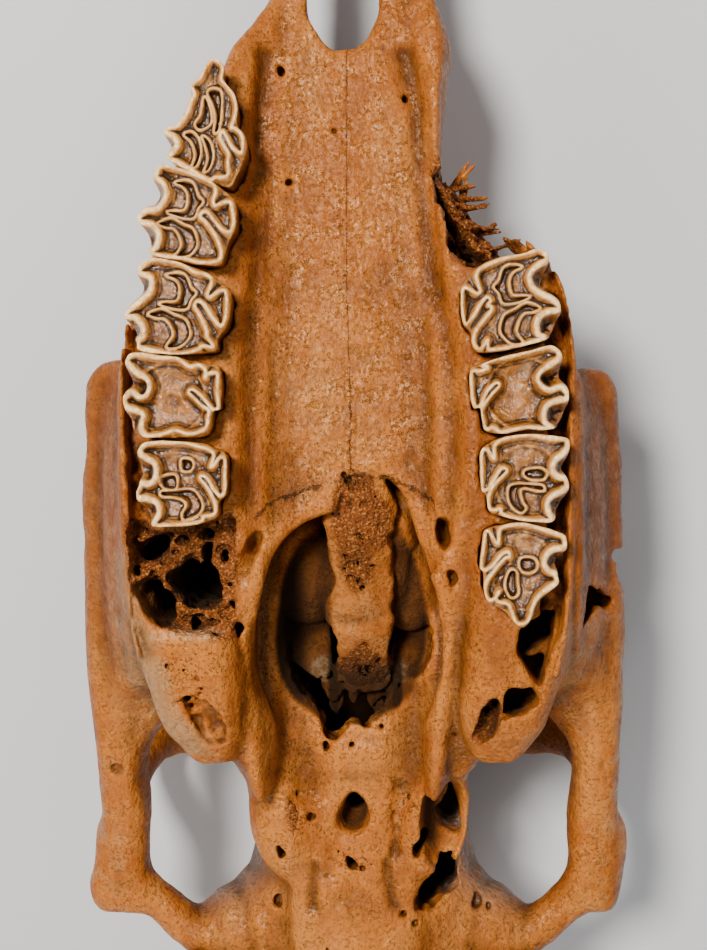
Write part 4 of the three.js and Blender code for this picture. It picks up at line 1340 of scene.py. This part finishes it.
CROWNS = [
    Crown("right_premolar_2", side=-1, view=FRONT_LEFT_VIEW, body=[
        (735, 50), (690, 75), (650, 150), (575, 230), (560, 320), (480, 510), (390, 550), (385, 600),
        (410, 700), (400, 770), (500, 830), (640, 905), (740, 940), (850, 970), (910, 870), (975, 700),
        (960, 590), (905, 520), (910, 400), (890, 310), (810, 200), (815, 120), (790, 75),
    ], enamel=[
        (735, 62), (700, 85), (668, 135), (640, 195), (585, 238), (580, 262), (602, 310), (575, 370),
        (545, 450), (490, 520), (402, 556), (398, 580), (450, 612), (478, 668), (440, 730), (418, 768),
        (480, 800), (560, 842), (640, 890), (715, 925), (745, 905), (835, 892), (838, 800), (842, 735),
        (805, 668), (780, 610), (800, 575), (825, 610), (870, 690), (930, 728), (945, 690), (935, 600),
        (885, 552), (862, 545), (885, 480), (897, 400), (880, 325), (835, 255), (792, 205), (802, 130),
        (780, 85),
    ], islands=[
        [(690, 290), (740, 262), (785, 290), (790, 400), (770, 560), (735, 572), (745, 470), (725, 380)],
        [(665, 320), (705, 400), (712, 500), (640, 555), (600, 520), (640, 450)],
        [(520, 590), (570, 570), (622, 620), (640, 720), (610, 815), (580, 830), (600, 730), (570, 640)],
        [(650, 600), (705, 640), (728, 740), (700, 830), (665, 855), (690, 760), (675, 680)],
    ]),
    Crown("right_premolar_3", side=-1, view=FRONT_LEFT_VIEW, body=[
        (350, 815), (300, 900), (310, 1000), (240, 1120), (185, 1190), (225, 1260), (250, 1380), (275, 1450),
        (420, 1490), (640, 1530), (790, 1520), (830, 1400), (860, 1330), (900, 1250), (895, 1080),
        (840, 1010), (740, 940), (600, 865), (430, 820),
    ], enamel=[
        (410, 822), (352, 828), (322, 900), (335, 912), (380, 950), (402, 1010), (380, 1080), (330, 1130),
        (250, 1140), (198, 1190), (215, 1222), (290, 1240), (342, 1295), (345, 1355), (322, 1412),
        (285, 1440), (330, 1462), (420, 1472), (520, 1480), (640, 1512), (760, 1502), (790, 1450),
        (772, 1370), (730, 1290), (680, 1225), (642, 1190), (650, 1158), (690, 1150), (735, 1205),
        (790, 1270), (852, 1292), (878, 1230), (872, 1150), (852, 1080), (790, 1088), (748, 1108),
        (735, 1070), (752, 1010), (742, 965), (700, 930), (600, 885), (500, 850),
    ], shared_islands=PREMOLAR_ISLANDS),
    Crown("right_premolar_4", side=-1, view=MIDDLE_LEFT_VIEW, body=[
        (340, 60), (255, 140), (245, 310), (155, 480), (180, 590), (240, 720), (260, 785), (450, 815),
        (640, 818), (860, 790), (885, 690), (960, 580), (990, 380), (960, 290), (850, 200), (700, 130),
        (500, 75),
    ], enamel=[
        (350, 70), (265, 150), (280, 180), (350, 210), (365, 270), (340, 340), (270, 400), (165, 490),
        (165, 520), (230, 525), (290, 590), (295, 660), (250, 720), (265, 765), (400, 795), (520, 815),
        (640, 805), (730, 775), (760, 750), (845, 755), (800, 680), (790, 620), (735, 500), (700, 440),
        (720, 400), (770, 420), (850, 540), (910, 590), (945, 500), (945, 330), (890, 320), (820, 365),
        (800, 340), (835, 240), (790, 190), (700, 170), (600, 110), (480, 80),
    ], shared_islands=PREMOLAR_ISLANDS),
    Crown("right_molar_1", side=-1, view=MIDDLE_LEFT_VIEW, body=[
        (225, 800), (160, 860), (150, 950), (165, 1080), (135, 1160), (145, 1240), (170, 1400), (250, 1465),
        (500, 1475), (760, 1470), (825, 1400), (850, 1270), (905, 1230), (910, 1000), (880, 900), (780, 880),
        (640, 850), (500, 825),
    ], enamel=[
        (225, 812), (172, 855), (185, 895), (245, 960), (320, 1005), (345, 1070), (315, 1140), (265, 1152),
        (210, 1112), (150, 1150), (142, 1200), (180, 1240), (260, 1262), (300, 1300), (285, 1400),
        (330, 1460), (420, 1450), (480, 1430), (550, 1410), (640, 1440), (720, 1430), (790, 1390),
        (805, 1310), (810, 1255), (750, 1215), (690, 1155), (650, 1112), (685, 1092), (750, 1140),
        (800, 1200), (850, 1252), (888, 1230), (878, 1120), (882, 980), (850, 960), (805, 970), (782, 1000),
        (785, 940), (735, 900), (660, 912), (600, 872), (540, 842), (420, 842), (310, 822),
    ], basin=1.0),
    Crown("right_molar_2", side=-1, view=REAR_LEFT_VIEW, body=[
        (300, 80), (235, 135), (205, 250), (240, 370), (215, 450), (240, 540), (300, 650), (350, 692),
        (560, 690), (700, 665), (800, 620), (810, 520), (865, 440), (865, 190), (780, 130), (700, 90),
        (480, 75),
    ], enamel=[
        (300, 92), (250, 135), (258, 175), (300, 205), (350, 235), (365, 300), (345, 365), (300, 385),
        (255, 380), (222, 430), (225, 480), (300, 490), (365, 520), (385, 590), (350, 680), (430, 682),
        (530, 675), (630, 665), (690, 645), (700, 620), (775, 600), (785, 540), (760, 470), (720, 400),
        (675, 345), (690, 325), (730, 350), (770, 420), (815, 468), (850, 440), (852, 330), (852, 205),
        (810, 200), (775, 250), (752, 260), (775, 180), (740, 140), (660, 115), (560, 92), (430, 88),
    ], islands=[
        [(390, 345), (450, 318), (495, 330), (500, 400), (470, 430), (400, 410)],
        [(540, 205), (600, 210), (620, 250), (595, 292), (540, 290), (528, 245)],
        [(385, 440), (490, 430), (600, 425), (655, 470), (685, 545), (650, 610), (560, 640), (540, 600),
         (570, 540), (540, 500), (470, 480), (400, 475)],
    ], basin=0.55),
    Crown("left_premolar_4", side=1, view=FRONT_RIGHT_VIEW, body=[
        (690, 60), (770, 110), (775, 200), (740, 340), (830, 420), (875, 520), (860, 640), (780, 770),
        (600, 825), (420, 870), (230, 880), (170, 820), (160, 720), (100, 640), (80, 480), (100, 340),
        (220, 200), (400, 125), (560, 100),
    ], enamel=[
        (690, 70), (755, 110), (765, 150), (700, 190), (650, 230), (622, 290), (650, 370), (720, 420),
        (800, 460), (862, 515), (850, 545), (780, 555), (710, 590), (680, 660), (695, 740), (740, 765),
        (640, 800), (500, 832), (330, 858), (300, 835), (298, 780), (245, 850), (205, 835), (185, 790),
        (200, 720), (240, 660), (330, 540), (300, 505), (322, 470), (290, 445), (240, 500), (200, 570),
        (140, 650), (112, 635), (95, 500), (102, 385), (145, 378), (205, 415), (240, 400), (215, 320),
        (210, 270), (250, 215), (400, 150), (560, 110),
    ], shared_islands=PREMOLAR_ISLANDS),
    Crown("left_molar_1", side=1, view=FRONT_RIGHT_VIEW, body=[
        (790, 820), (870, 870), (895, 950), (890, 1060), (925, 1150), (940, 1230), (920, 1380), (830, 1480),
        (620, 1490), (420, 1520), (280, 1500), (245, 1400), (235, 1320), (180, 1320), (155, 1180),
        (155, 1010), (240, 970), (430, 905), (620, 865),
    ], enamel=[
        (790, 828), (860, 870), (855, 925), (790, 975), (715, 1030), (690, 1090), (730, 1150), (790, 1175),
        (870, 1150), (920, 1195), (915, 1240), (850, 1255), (770, 1290), (740, 1350), (745, 1430),
        (800, 1480), (700, 1475), (600, 1465), (480, 1490), (400, 1505), (340, 1470), (285, 1480),
        (262, 1410), (250, 1325), (320, 1220), (390, 1140), (360, 1120), (290, 1190), (245, 1290),
        (205, 1310), (178, 1240), (168, 1120), (172, 1030), (230, 1025), (290, 1010), (300, 990), (260, 985),
        (330, 940), (430, 920), (600, 880), (720, 842),
    ], basin=1.0),
    Crown("left_molar_2", side=1, view=REAR_RIGHT_VIEW, body=[
        (840, 88), (875, 150), (860, 260), (840, 340), (872, 430), (850, 540), (800, 640), (740, 710),
        (600, 712), (430, 685), (290, 640), (262, 520), (225, 470), (218, 320), (222, 185), (300, 120),
        (420, 80), (600, 62),
    ], enamel=[
        (840, 98), (862, 150), (830, 205), (765, 260), (750, 330), (790, 375), (845, 390), (858, 440),
        (820, 480), (745, 520), (710, 570), (720, 640), (745, 695), (650, 700), (530, 690), (420, 665),
        (375, 640), (370, 610), (325, 622), (285, 600), (285, 520), (320, 440), (415, 345), (410, 318),
        (375, 320), (320, 400), (280, 462), (240, 465), (232, 330), (235, 195), (270, 178), (300, 215),
        (325, 240), (325, 160), (370, 112), (470, 85), (580, 72), (720, 92),
    ], islands=[
        [(560, 330), (600, 318), (670, 315), (710, 350), (690, 395), (620, 400), (570, 385), (545, 355)],
        [(440, 450), (500, 430), (600, 432), (680, 440), (695, 475), (640, 480), (560, 460), (520, 480),
         (535, 560), (560, 610), (520, 640), (460, 600), (430, 530)],
    ], basin=0.55),
    Crown("left_molar_3", side=1, view=REAR_RIGHT_VIEW, body=[
        (800, 780), (855, 830), (850, 920), (800, 1000), (795, 1100), (790, 1170), (680, 1280), (640, 1370),
        (600, 1430), (530, 1490), (470, 1450), (400, 1370), (280, 1300), (245, 1200), (240, 1080),
        (215, 1030), (240, 800), (290, 745), (400, 720), (560, 710),
    ], enamel=[
        (800, 795), (842, 830), (835, 890), (750, 910), (700, 960), (690, 1020), (720, 1065), (775, 1095),
        (780, 1150), (710, 1200), (640, 1260), (600, 1340), (590, 1385), (560, 1440), (500, 1450),
        (465, 1400), (430, 1310), (350, 1290), (340, 1250), (362, 1215), (330, 1265), (290, 1278),
        (258, 1230), (265, 1150), (320, 1070), (400, 975), (440, 965), (425, 925), (375, 950), (310, 1030),
        (255, 1058), (228, 1030), (245, 900), (262, 785), (290, 782), (325, 840), (355, 862), (360, 780),
        (400, 742), (540, 725), (700, 765),
    ], islands=[
        [(520, 985), (560, 970), (610, 975), (640, 1010), (635, 1060), (590, 1085), (540, 1075), (515, 1035)],
        [(430, 1085), (465, 1060), (495, 1085), (500, 1160), (505, 1230), (470, 1265), (430, 1240),
         (410, 1170)],
    ], basin=0.45),
]


def build_crown(crown):
    """The crown down to inside the bone, with its worn face."""
    low = [*(crown.body.min(axis=0) - 2.5), -1.6]
    high = [*(crown.body.max(axis=0) + 2.5), CROWN_BOTTOM + 1]
    field = Field(low, high, TOOTH_CELL)
    part, (x, y, d) = field.window(low, high)
    loop = smooth_loop(crown.body)
    flat_x, flat_y = x[..., 0], y[..., 0]
    side = outline_distance(loop, flat_x, flat_y)[..., None]
    top = crown.top(*np.broadcast_arrays(flat_x, flat_y))[..., None]
    side = side + 0.06 * d + 0.18 * noise(x, y, d * 0.25, 2.6, 15)
    field.value[part] = blend_max(side, np.maximum(top - d, d - CROWN_BOTTOM), 0.5)
    return field


INCISOR_TURN = 0.4  # radians between neighbouring incisors
ARCADE_Y = 221.0  # the incisors stand round this point of the middle line
INCISOR_EDGE = 2.2  # depth of the incisors' worn faces


def incisor(turn):
    """One front tooth, from inside the bone to its worn face, with the little cup in the middle."""
    side, ahead = math.sin(turn * INCISOR_TURN), math.cos(turn * INCISOR_TURN)
    foot = [side * 24, ARCADE_Y + ahead * 24, 34]
    neck = [side * 28, ARCADE_Y + ahead * 29, 18]
    edge = [side * 31.5, ARCADE_Y + ahead * 32.5, 0]
    across = (ahead, -side, 0)
    outward = (side, ahead, 0)
    low = np.minimum(foot, edge) - 10
    high = np.maximum(foot, edge) + 10
    field = Field(low, high, TOOTH_CELL)
    root = rod(foot, neck, (6.0, 5.6), (7.6, 5.2), across, outward)
    crown = rod(neck, edge, (7.6, 5.2), (8.2, 4.6), across, outward)
    field.add([root, crown], 1.0)
    part, (x, y, d) = field.window(low, high)
    worn = INCISOR_EDGE + 0.15 * noise(x, y, d * 0, 2.0, 18)
    cup_x = (x - edge[0] * 0.985) * across[0] + (y - edge[1] + ahead * 0.5) * across[1]
    cup_y = (x - edge[0] * 0.985) * outward[0] + (y - edge[1] + ahead * 0.5) * outward[1]
    cup = np.hypot(cup_x / 2.9, cup_y / 1.5)
    worn = worn + 1.6 * ramp(1.15, 0.6, cup) - 0.35 * ramp(0.35, 0.0, np.abs(cup - 1.25))
    field.value[part] = blend_max(field.value[part], worn - d, 0.6)
    return field, edge, across, outward


def incisor_masks(field, edge, across, outward, points):
    x, y, depth = points[:, 0] - edge[0] * 0.985, points[:, 1] - edge[1], points[:, 2]
    along_x = x * across[0] + y * across[1]
    along_y = x * outward[0] + y * outward[1]
    ring = (1 - np.hypot(along_x / 8.0, along_y / 4.6)) * 4.6
    cup = (np.hypot(along_x / 2.9, along_y / 1.5) - 1) * 1.8
    return {
        "ridge": np.clip(np.abs(ring) - 0.8, -2, 6),
        "island": np.clip(cup, -3, 6),
        "below": np.clip((depth - INCISOR_EDGE) * 0.8, -1, 30),
        "crease_shade": creases(field, points, 0.9),
    }


def crown_masks(crown, field, points):
    x, y, depth = points[:, 0], points[:, 1], points[:, 2]
    ridge, _, island = crown.marks(x, y)
    return {
        "ridge": np.clip(ridge, -2, 6),
        "island": np.clip(island, -3, 6),
        "below": np.clip(depth, -1, 30),
        "crease_shade": creases(field, points, 0.9),
    }


# ---- Meshes --------------------------------------------------------------------------------------


def add_mesh(name, points, quads, attributes, material):
    """A mesh object in the part's frame, with a float attribute at each vertex for each mask."""
    mesh = bpy.data.meshes.new(name)
    placed = to_part(points)
    placed[:, 2] = np.maximum(placed[:, 2], 0.0)
    mesh.vertices.add(len(placed))
    mesh.vertices.foreach_set("co", placed.astype(np.float32).ravel())
    mesh.loops.add(quads.size)
    mesh.loops.foreach_set("vertex_index", quads.astype(np.int32).ravel())
    mesh.polygons.add(len(quads))
    mesh.polygons.foreach_set("loop_start", np.arange(0, quads.size, 4, dtype=np.int32))
    mesh.polygons.foreach_set("use_smooth", np.ones(len(quads), bool))
    mesh.update(calc_edges=True)
    for key, values in attributes.items():
        mesh.attributes.new(key, "FLOAT", "POINT").data.foreach_set("value", values.astype(np.float32))
    mesh.materials.append(material)
    piece = bpy.data.objects.new(name, mesh)
    bpy.context.scene.collection.objects.link(piece)
    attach(piece, "root")
    return piece


# ---- Materials -----------------------------------------------------------------------------------


class Graph:
    """Short ways to add and join shader nodes."""

    def __init__(self, name):
        self.material = bpy.data.materials.new(name)
        self.material.use_nodes = True
        self.tree = self.material.node_tree
        self.shader = self.tree.nodes["Principled BSDF"]
        place = self.tree.nodes.new("ShaderNodeTexCoord").outputs["Object"]
        self.place = self.vector("SCALE", place, 1000.0)

    def put(self, socket, value):
        if isinstance(value, bpy.types.NodeSocket):
            self.tree.links.new(value, socket)
        elif isinstance(value, tuple) and len(value) == 3 and socket.type == "RGBA":
            socket.default_value = (*value, 1)
        else:
            socket.default_value = value

    def node(self, kind, inputs, output=0, **settings):
        """One output of a new node, whose inputs are set or joined by name or number."""
        node = self.tree.nodes.new("ShaderNode" + kind)
        for key, value in settings.items():
            setattr(node, key, value)
        for key, value in inputs.items():
            self.put(node.inputs[key], value)
        return node.outputs[output]

    def vector(self, kind, value, amount):
        second = "Scale" if kind == "SCALE" else 1
        return self.node("VectorMath", {0: value, second: amount}, operation=kind)

    def math(self, kind, a, b=0.0, clamp=False):
        return self.node("Math", {0: a, 1: b}, operation=kind, use_clamp=clamp)

    def times(self, a, b):
        return self.math("MULTIPLY", a, b)

    def plus(self, a, b, clamp=False):
        return self.math("ADD", a, b, clamp)

    def noise(self, per_mm, detail=4.0, roughness=0.55, place=None, offset=0.0):
        moved = self.vector("ADD", place or self.place, (offset, offset * 0.7, -offset))
        inputs = {"Vector": moved, "Scale": per_mm, "Detail": detail, "Roughness": roughness}
        return self.node("TexNoise", inputs, "Fac")

    def cells(self, per_mm, place=None):
        """Distance from the nearest of scattered points, about one to a cell."""
        return self.node("TexVoronoi", {"Vector": place or self.place, "Scale": per_mm}, "Distance")

    def step(self, value, low, high, start=0.0, end=1.0):
        """Runs smoothly from start to end as the value goes from low to high."""
        inputs = {"Value": value, "From Min": low, "From Max": high, "To Min": start, "To Max": end}
        return self.node("MapRange", inputs, interpolation_type="SMOOTHSTEP")

    def mix(self, a, b, factor):
        """Colour a, turning into colour b as the factor goes from 0 to 1."""
        return self.node("Mix", {0: factor, 6: a, 7: b}, 2, data_type="RGBA")

    def darken(self, colour, amount):
        """The colour multiplied by a grey amount."""
        return self.vector("SCALE", colour, amount)

    def mask(self, name):
        return self.node("Attribute", {}, "Fac", attribute_name=name)

    def bump(self, height_mm, strength):
        return self.node("Bump", {"Strength": strength, "Distance": MM, "Height": height_mm})


WARM = (0.42, 0.134, 0.019)
TAWNY = (0.34, 0.093, 0.011)
UMBER = (0.17, 0.038, 0.003)
STRAW = (0.57, 0.24, 0.058)
GREY_TAN = (0.33, 0.19, 0.085)
COOL_GREY = (0.12, 0.105, 0.09)
RUST = (0.12, 0.028, 0.004)
# Painted shade: the near-black put into deep recesses and the rear of the nose
SHADE_BLACK = (0.012, 0.004, 0.001)
PALE = (0.74, 0.50, 0.27)
WARM_SHINE = (1.0, 0.84, 0.64)


def make_bone_material():
    """Old stained bone: waxy orange brown with fine pits and grain; painted shade in the creases, recesses,
    arches and furrows, and painted light on what stands out.
    """
    g = Graph("old_bone")
    lengthwise = g.vector("MULTIPLY", g.place, (1.0, 0.30, 0.6))
    broad = g.noise(0.06, 3.0, place=lengthwise, offset=3.0)
    cloud = g.noise(0.16, 5.0, 0.6, offset=11.0)
    mottle = g.noise(0.55, 3.5, 0.6, offset=23.0)
    grain = g.noise(1.9, 3.0, 0.6, offset=31.0)
    stretched = g.vector("MULTIPLY", g.place, (1.0, 0.22, 0.5))
    streak = g.noise(0.9, 4.0, 0.6, place=stretched)
    dents = g.step(g.noise(0.75, 3.0, 0.6, offset=19.0), 0.52, 0.66, 0.0, 0.5)

    colour = g.mix(TAWNY, WARM, g.step(cloud, 0.36, 0.62))
    colour = g.mix(colour, STRAW, g.times(g.step(broad, 0.45, 0.72), 0.35))
    colour = g.mix(colour, UMBER, g.times(g.step(mottle, 0.52, 0.74), 0.60))
    colour = g.mix(colour, UMBER, g.times(g.step(broad, 0.48, 0.30), 0.42))
    colour = g.mix(colour, STRAW, g.times(g.step(streak, 0.56, 0.78), 0.30))
    colour = g.darken(colour, g.step(grain, 0.30, 0.70, 0.84, 1.10))
    colour = g.darken(colour, g.step(dents, 0.0, 0.5, 1.05, 0.78))

    grey_edge = g.plus(g.mask("grey"), g.times(g.math("SUBTRACT", cloud, 0.5), 1.1))
    grey = g.mix(GREY_TAN, TAWNY, g.step(mottle, 0.50, 0.78, 0.0, 0.6))
    colour = g.mix(colour, grey, g.times(g.step(grey_edge, 0.30, 0.85), 0.75))
    cool = g.mix(COOL_GREY, UMBER, g.step(streak, 0.50, 0.66, 0.0, 0.75))
    colour = g.mix(colour, cool, g.mask("cool"))
    # Painted shade: the arches, the ridges and furrows beside the palate and the palate's front are darkened
    # towards umber
    colour = g.mix(colour, UMBER, g.times(g.mask("painted_shade"), g.step(cloud, 0.30, 0.65, 0.90, 0.60)))

    sponge_colour = g.mix(RUST, STRAW, g.step(g.noise(1.1, 3.0, offset=47.0), 0.50, 0.72, 0.0, 0.7))
    sponge_colour = g.darken(sponge_colour, g.step(g.cells(0.95), 0.16, 0.50, 0.22, 1.15))
    colour = g.mix(colour, sponge_colour, g.times(g.mask("spongy"), 0.9))
    colour = g.mix(colour, PALE, g.times(g.mask("pale"), g.step(mottle, 0.40, 0.62, 0.25, 0.95)))

    pit_size = g.step(g.noise(0.10, 3.0, 0.65, offset=53.0), 0.50, 0.72, -0.12, 0.24)
    pit_size = g.plus(pit_size, g.times(g.mask("pitted"), g.step(mottle, 0.40, 0.60, 0.10, 0.42)))
    pit = g.step(g.math("SUBTRACT", g.cells(0.95), pit_size), 0.0, 0.12)
    fine_pit = g.step(g.cells(2.3), 0.10, 0.24)
    fine_amount = g.step(g.noise(0.12, 3.0, offset=97.0), 0.46, 0.62, 1.0, 0.80)
    pits_dark = g.times(g.step(pit, 0.0, 1.0, 0.50, 1.0), g.step(fine_pit, 0.0, 1.0, fine_amount, 1.0))
    colour = g.darken(colour, pits_dark)

    # Painted shade in the hollows and painted light on what stands out
    crease_shade = g.mask("crease_shade")
    colour = g.darken(colour, g.step(crease_shade, -0.45, 0.30, 0.42, 1.18))
    wander = g.times(g.math("SUBTRACT", g.noise(0.45, 5.0, 0.75, offset=61.0), 0.5), 4.5)
    seam = g.math("ABSOLUTE", g.plus(g.mask("seam"), wander))
    seam_line = g.step(seam, 0.10, 0.45)
    seam_gap = g.step(g.noise(0.14, 3.0, offset=71.0), 0.38, 0.50)
    seam_dark = g.math("MAXIMUM", seam_line, g.math("SUBTRACT", 1.0, seam_gap))
    colour = g.darken(colour, g.step(seam, 0.4, 2.6, 0.86, 1.0))
    colour = g.darken(colour, g.step(seam_dark, 0.0, 1.0, 0.28, 1.0))
    # Painted shade: recesses and the rear of the nose turn nearly black
    recess_shade = g.mask("recess_shade")
    colour = g.mix(colour, SHADE_BLACK, g.step(recess_shade, 2.5, 16.0, 0.0, 0.99))
    g.put(g.shader.inputs["Base Color"], colour)

    worn = g.plus(g.step(mottle, 0.35, 0.75, 0.30, 0.50), g.step(cloud, 0.42, 0.62, 0.14, 0.0))
    rough = g.plus(worn, g.times(g.mask("spongy"), 0.30), clamp=True)
    rough = g.plus(rough, g.step(recess_shade, 1.0, 14.0, 0.0, 0.70), clamp=True)
    g.put(g.shader.inputs["Roughness"], rough)

    ripple_place = g.vector("MULTIPLY", g.place, (0.9, 0.6, 0.9))
    height = g.times(g.noise(0.38, 2.5, 0.55, place=ripple_place, offset=83.0), 1.35)
    nicks = g.step(g.cells(0.42, place=ripple_place), 0.02, 0.26)
    nicked = g.step(g.noise(0.09, 3.0, offset=89.0), 0.40, 0.60, 0.03, 0.12)
    height = g.plus(height, g.times(nicks, nicked))
    height = g.math("SUBTRACT", height, g.times(dents, g.step(cloud, 0.38, 0.62, 0.15, 1.0)))
    height = g.plus(height, g.times(pit, 0.30))
    height = g.plus(height, g.times(fine_pit, 0.07))
    height = g.plus(height, g.times(seam_dark, 0.25))
    spongy_height = g.times(g.cells(0.8), g.times(g.mask("spongy"), 0.9))
    height = g.plus(height, spongy_height)
    g.put(g.shader.inputs["Normal"], g.bump(height, 0.85))
    g.put(g.shader.inputs["Specular IOR Level"], 0.32)
    g.put(g.shader.inputs["Specular Tint"], WARM_SHINE)
    return g.material


IVORY = (0.80, 0.45, 0.15)
CREAM = (1.0, 0.72, 0.36)
AMBER = (0.40, 0.145, 0.022)
HONEY = (0.42, 0.165, 0.032)
DENTINE = (0.21, 0.074, 0.013)
DENTINE_PALE = (0.50, 0.22, 0.05)
DENTINE_DARK = (0.09, 0.034, 0.010)
ISLAND_BROWN = (0.075, 0.030, 0.008)


def make_tooth_material():
    """Worn tooth: ivory enamel ridges with amber edges, brown dentine and dark islands of cement."""
    g = Graph("old_tooth")
    cloud = g.noise(0.28, 3.0, 0.6, offset=5.0)
    mottle = g.noise(0.8, 5.0, 0.65, offset=17.0)
    grain = g.noise(3.0, 3.0, 0.7, offset=29.0)
    unsettled = g.math("SUBTRACT", mottle, 0.5)
    ridge = g.plus(g.mask("ridge"), g.times(unsettled, 1.1))
    below = g.mask("below")

    floor = g.mix(DENTINE, DENTINE_PALE, g.step(cloud, 0.40, 0.66))
    floor = g.mix(floor, DENTINE_DARK, g.times(g.step(mottle, 0.58, 0.74), 0.75))
    colour = g.mix(HONEY, floor, g.step(ridge, 0.2, 1.9))
    island = g.plus(g.mask("island"), g.times(unsettled, 1.0))
    island_colour = g.mix(ISLAND_BROWN, DENTINE_PALE, g.step(grain, 0.54, 0.74, 0.0, 0.6))
    colour = g.mix(island_colour, colour, g.step(island, -1.1, -0.1))
    island_line = g.step(g.math("ABSOLUTE", island), 0.10, 0.75, 0.25, 1.0)
    colour = g.mix(IVORY, colour, island_line)
    sides = g.mix(AMBER, GREY_TAN, g.step(cloud, 0.52, 0.74))
    sides = g.mix(sides, UMBER, g.step(below, 4.0, 12.0))
    colour = g.mix(colour, sides, g.step(below, 3.0, 5.4))
    enamel = g.mix(IVORY, CREAM, g.step(mottle, 0.40, 0.62))
    enamel = g.mix(enamel, AMBER, g.step(cloud, 0.46, 0.70, 0.0, 0.60))
    # Enamel colour on the ridges, with a painted highlight brightening their crests
    enamel_and_highlight = g.times(g.step(ridge, 0.50, -0.42), g.step(below, 2.8, 0.9))
    colour = g.mix(colour, enamel, enamel_and_highlight)
    colour = g.darken(colour, g.step(grain, 0.32, 0.70, 0.88, 1.10))
    # Painted shade in the hollows and painted light on what stands out
    colour = g.darken(colour, g.step(g.mask("crease_shade"), -0.50, 0.30, 0.10, 1.30))
    g.put(g.shader.inputs["Base Color"], colour)

    g.put(g.shader.inputs["Roughness"], g.step(mottle, 0.35, 0.75, 0.08, 0.22))
    height = g.times(g.noise(0.7, 2.5, 0.55, offset=37.0), 1.0)
    height = g.plus(height, g.times(grain, 0.08))
    g.put(g.shader.inputs["Normal"], g.bump(height, 0.9))
    g.put(g.shader.inputs["Specular IOR Level"], 0.7)
    return g.material


# ---- Scene ---------------------------------------------------------------------------------------

SENSOR = 36.0  # height of the camera's sensor, mm


def add_camera():
    """The camera looks straight at the chewing surface, with the muzzle up in the picture."""
    data = bpy.data.cameras.new("camera")
    data.sensor_fit = "VERTICAL"
    data.sensor_height = SENSOR
    data.lens = SENSOR * FOCAL_PIXELS / PICTURE_HEIGHT
    data.clip_start = 0.01
    lean = CAMERA_LEAN
    back = np.array([math.sin(lean), 0, -math.cos(lean)])
    place = np.array([CAMERA_X, 0, 0]) + CAMERA_HEIGHT * back
    origin, eye, muzzle_way, behind = to_part(np.array([[0, 0, 0], place, [0, 1, 0], back], float))
    up = Vector(muzzle_way - origin).normalized()
    away = Vector(behind - origin).normalized()
    right = up.cross(away)
    turn = Matrix((right, up, away)).transposed().to_4x4() @ Matrix.Rotation(CAMERA_ROLL, 4, "Z")
    camera = bpy.data.objects.new("camera", data)
    camera.matrix_world = Matrix.Translation(Vector(eye)) @ turn
    bpy.context.scene.collection.objects.link(camera)
    bpy.context.scene.camera = camera


def add_floor():
    size = 4.0
    mesh = bpy.data.meshes.new("floor")
    corners = [(-size, -size, 0), (size, -size, 0), (size, size, 0), (-size, size, 0)]
    mesh.from_pydata(corners, [], [(0, 1, 2, 3)])
    material = bpy.data.materials.new("floor")
    material.use_nodes = True
    shader = material.node_tree.nodes["Principled BSDF"]
    shader.inputs["Base Color"].default_value = (0.68, 0.71, 0.75, 1)
    shader.inputs["Roughness"].default_value = 0.9
    mesh.materials.append(material)
    floor = bpy.data.objects.new("floor", mesh)
    bpy.context.scene.collection.objects.link(floor)


AIM = (0, 0, 0.06)  # what the lights point at, in metres


def add_light(name, place, size, power, colour):
    data = bpy.data.lights.new(name, "AREA")
    data.shape = "DISK"
    data.size = size
    data.energy = power
    data.color = colour
    light = bpy.data.objects.new(name, data)
    light.location = place
    light.rotation_euler = (Vector(AIM) - Vector(place)).to_track_quat("-Z", "Y").to_euler()
    bpy.context.scene.collection.objects.link(light)


def add_lights():
    add_light("key", (-0.38, 0.62, 1.25), 0.28, 31, (1.0, 0.935, 0.84))
    add_light("fill", (0.9, 0.3, 1.4), 1.2, 5, (1.0, 0.97, 0.93))
    add_light("rear", (-0.3, -1.2, 0.8), 0.7, 8, (1.0, 0.96, 0.90))
    world = bpy.data.worlds.new("studio")
    world.use_nodes = True
    world.node_tree.nodes["Background"].inputs["Color"].default_value = (0.86, 0.88, 0.90, 1)
    world.node_tree.nodes["Background"].inputs["Strength"].default_value = 0.2
    bpy.context.scene.world = world


tooth_material = make_tooth_material()
bone, whole = build_bone()
bone_points, bone_quads = bone.mesh()
masks = bone_masks(bone, whole, bone_points)
skull = add_mesh("skull_bone", bone_points, bone_quads, masks, make_bone_material())
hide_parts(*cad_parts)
for crown in CROWNS:
    solid = build_crown(crown)
    crown_points, crown_quads = solid.mesh()
    masks = crown_masks(crown, solid, crown_points)
    add_mesh(crown.name, crown_points, crown_quads, masks, tooth_material)
for number in range(6):
    solid, edge, across, outward = incisor(number - 2.5)
    tooth_points, tooth_quads = solid.mesh()
    masks = incisor_masks(solid, edge, across, outward, tooth_points)
    add_mesh("incisor_%d" % (number + 1), tooth_points, tooth_quads, masks, tooth_material)
add_camera()
add_floor()
add_lights()
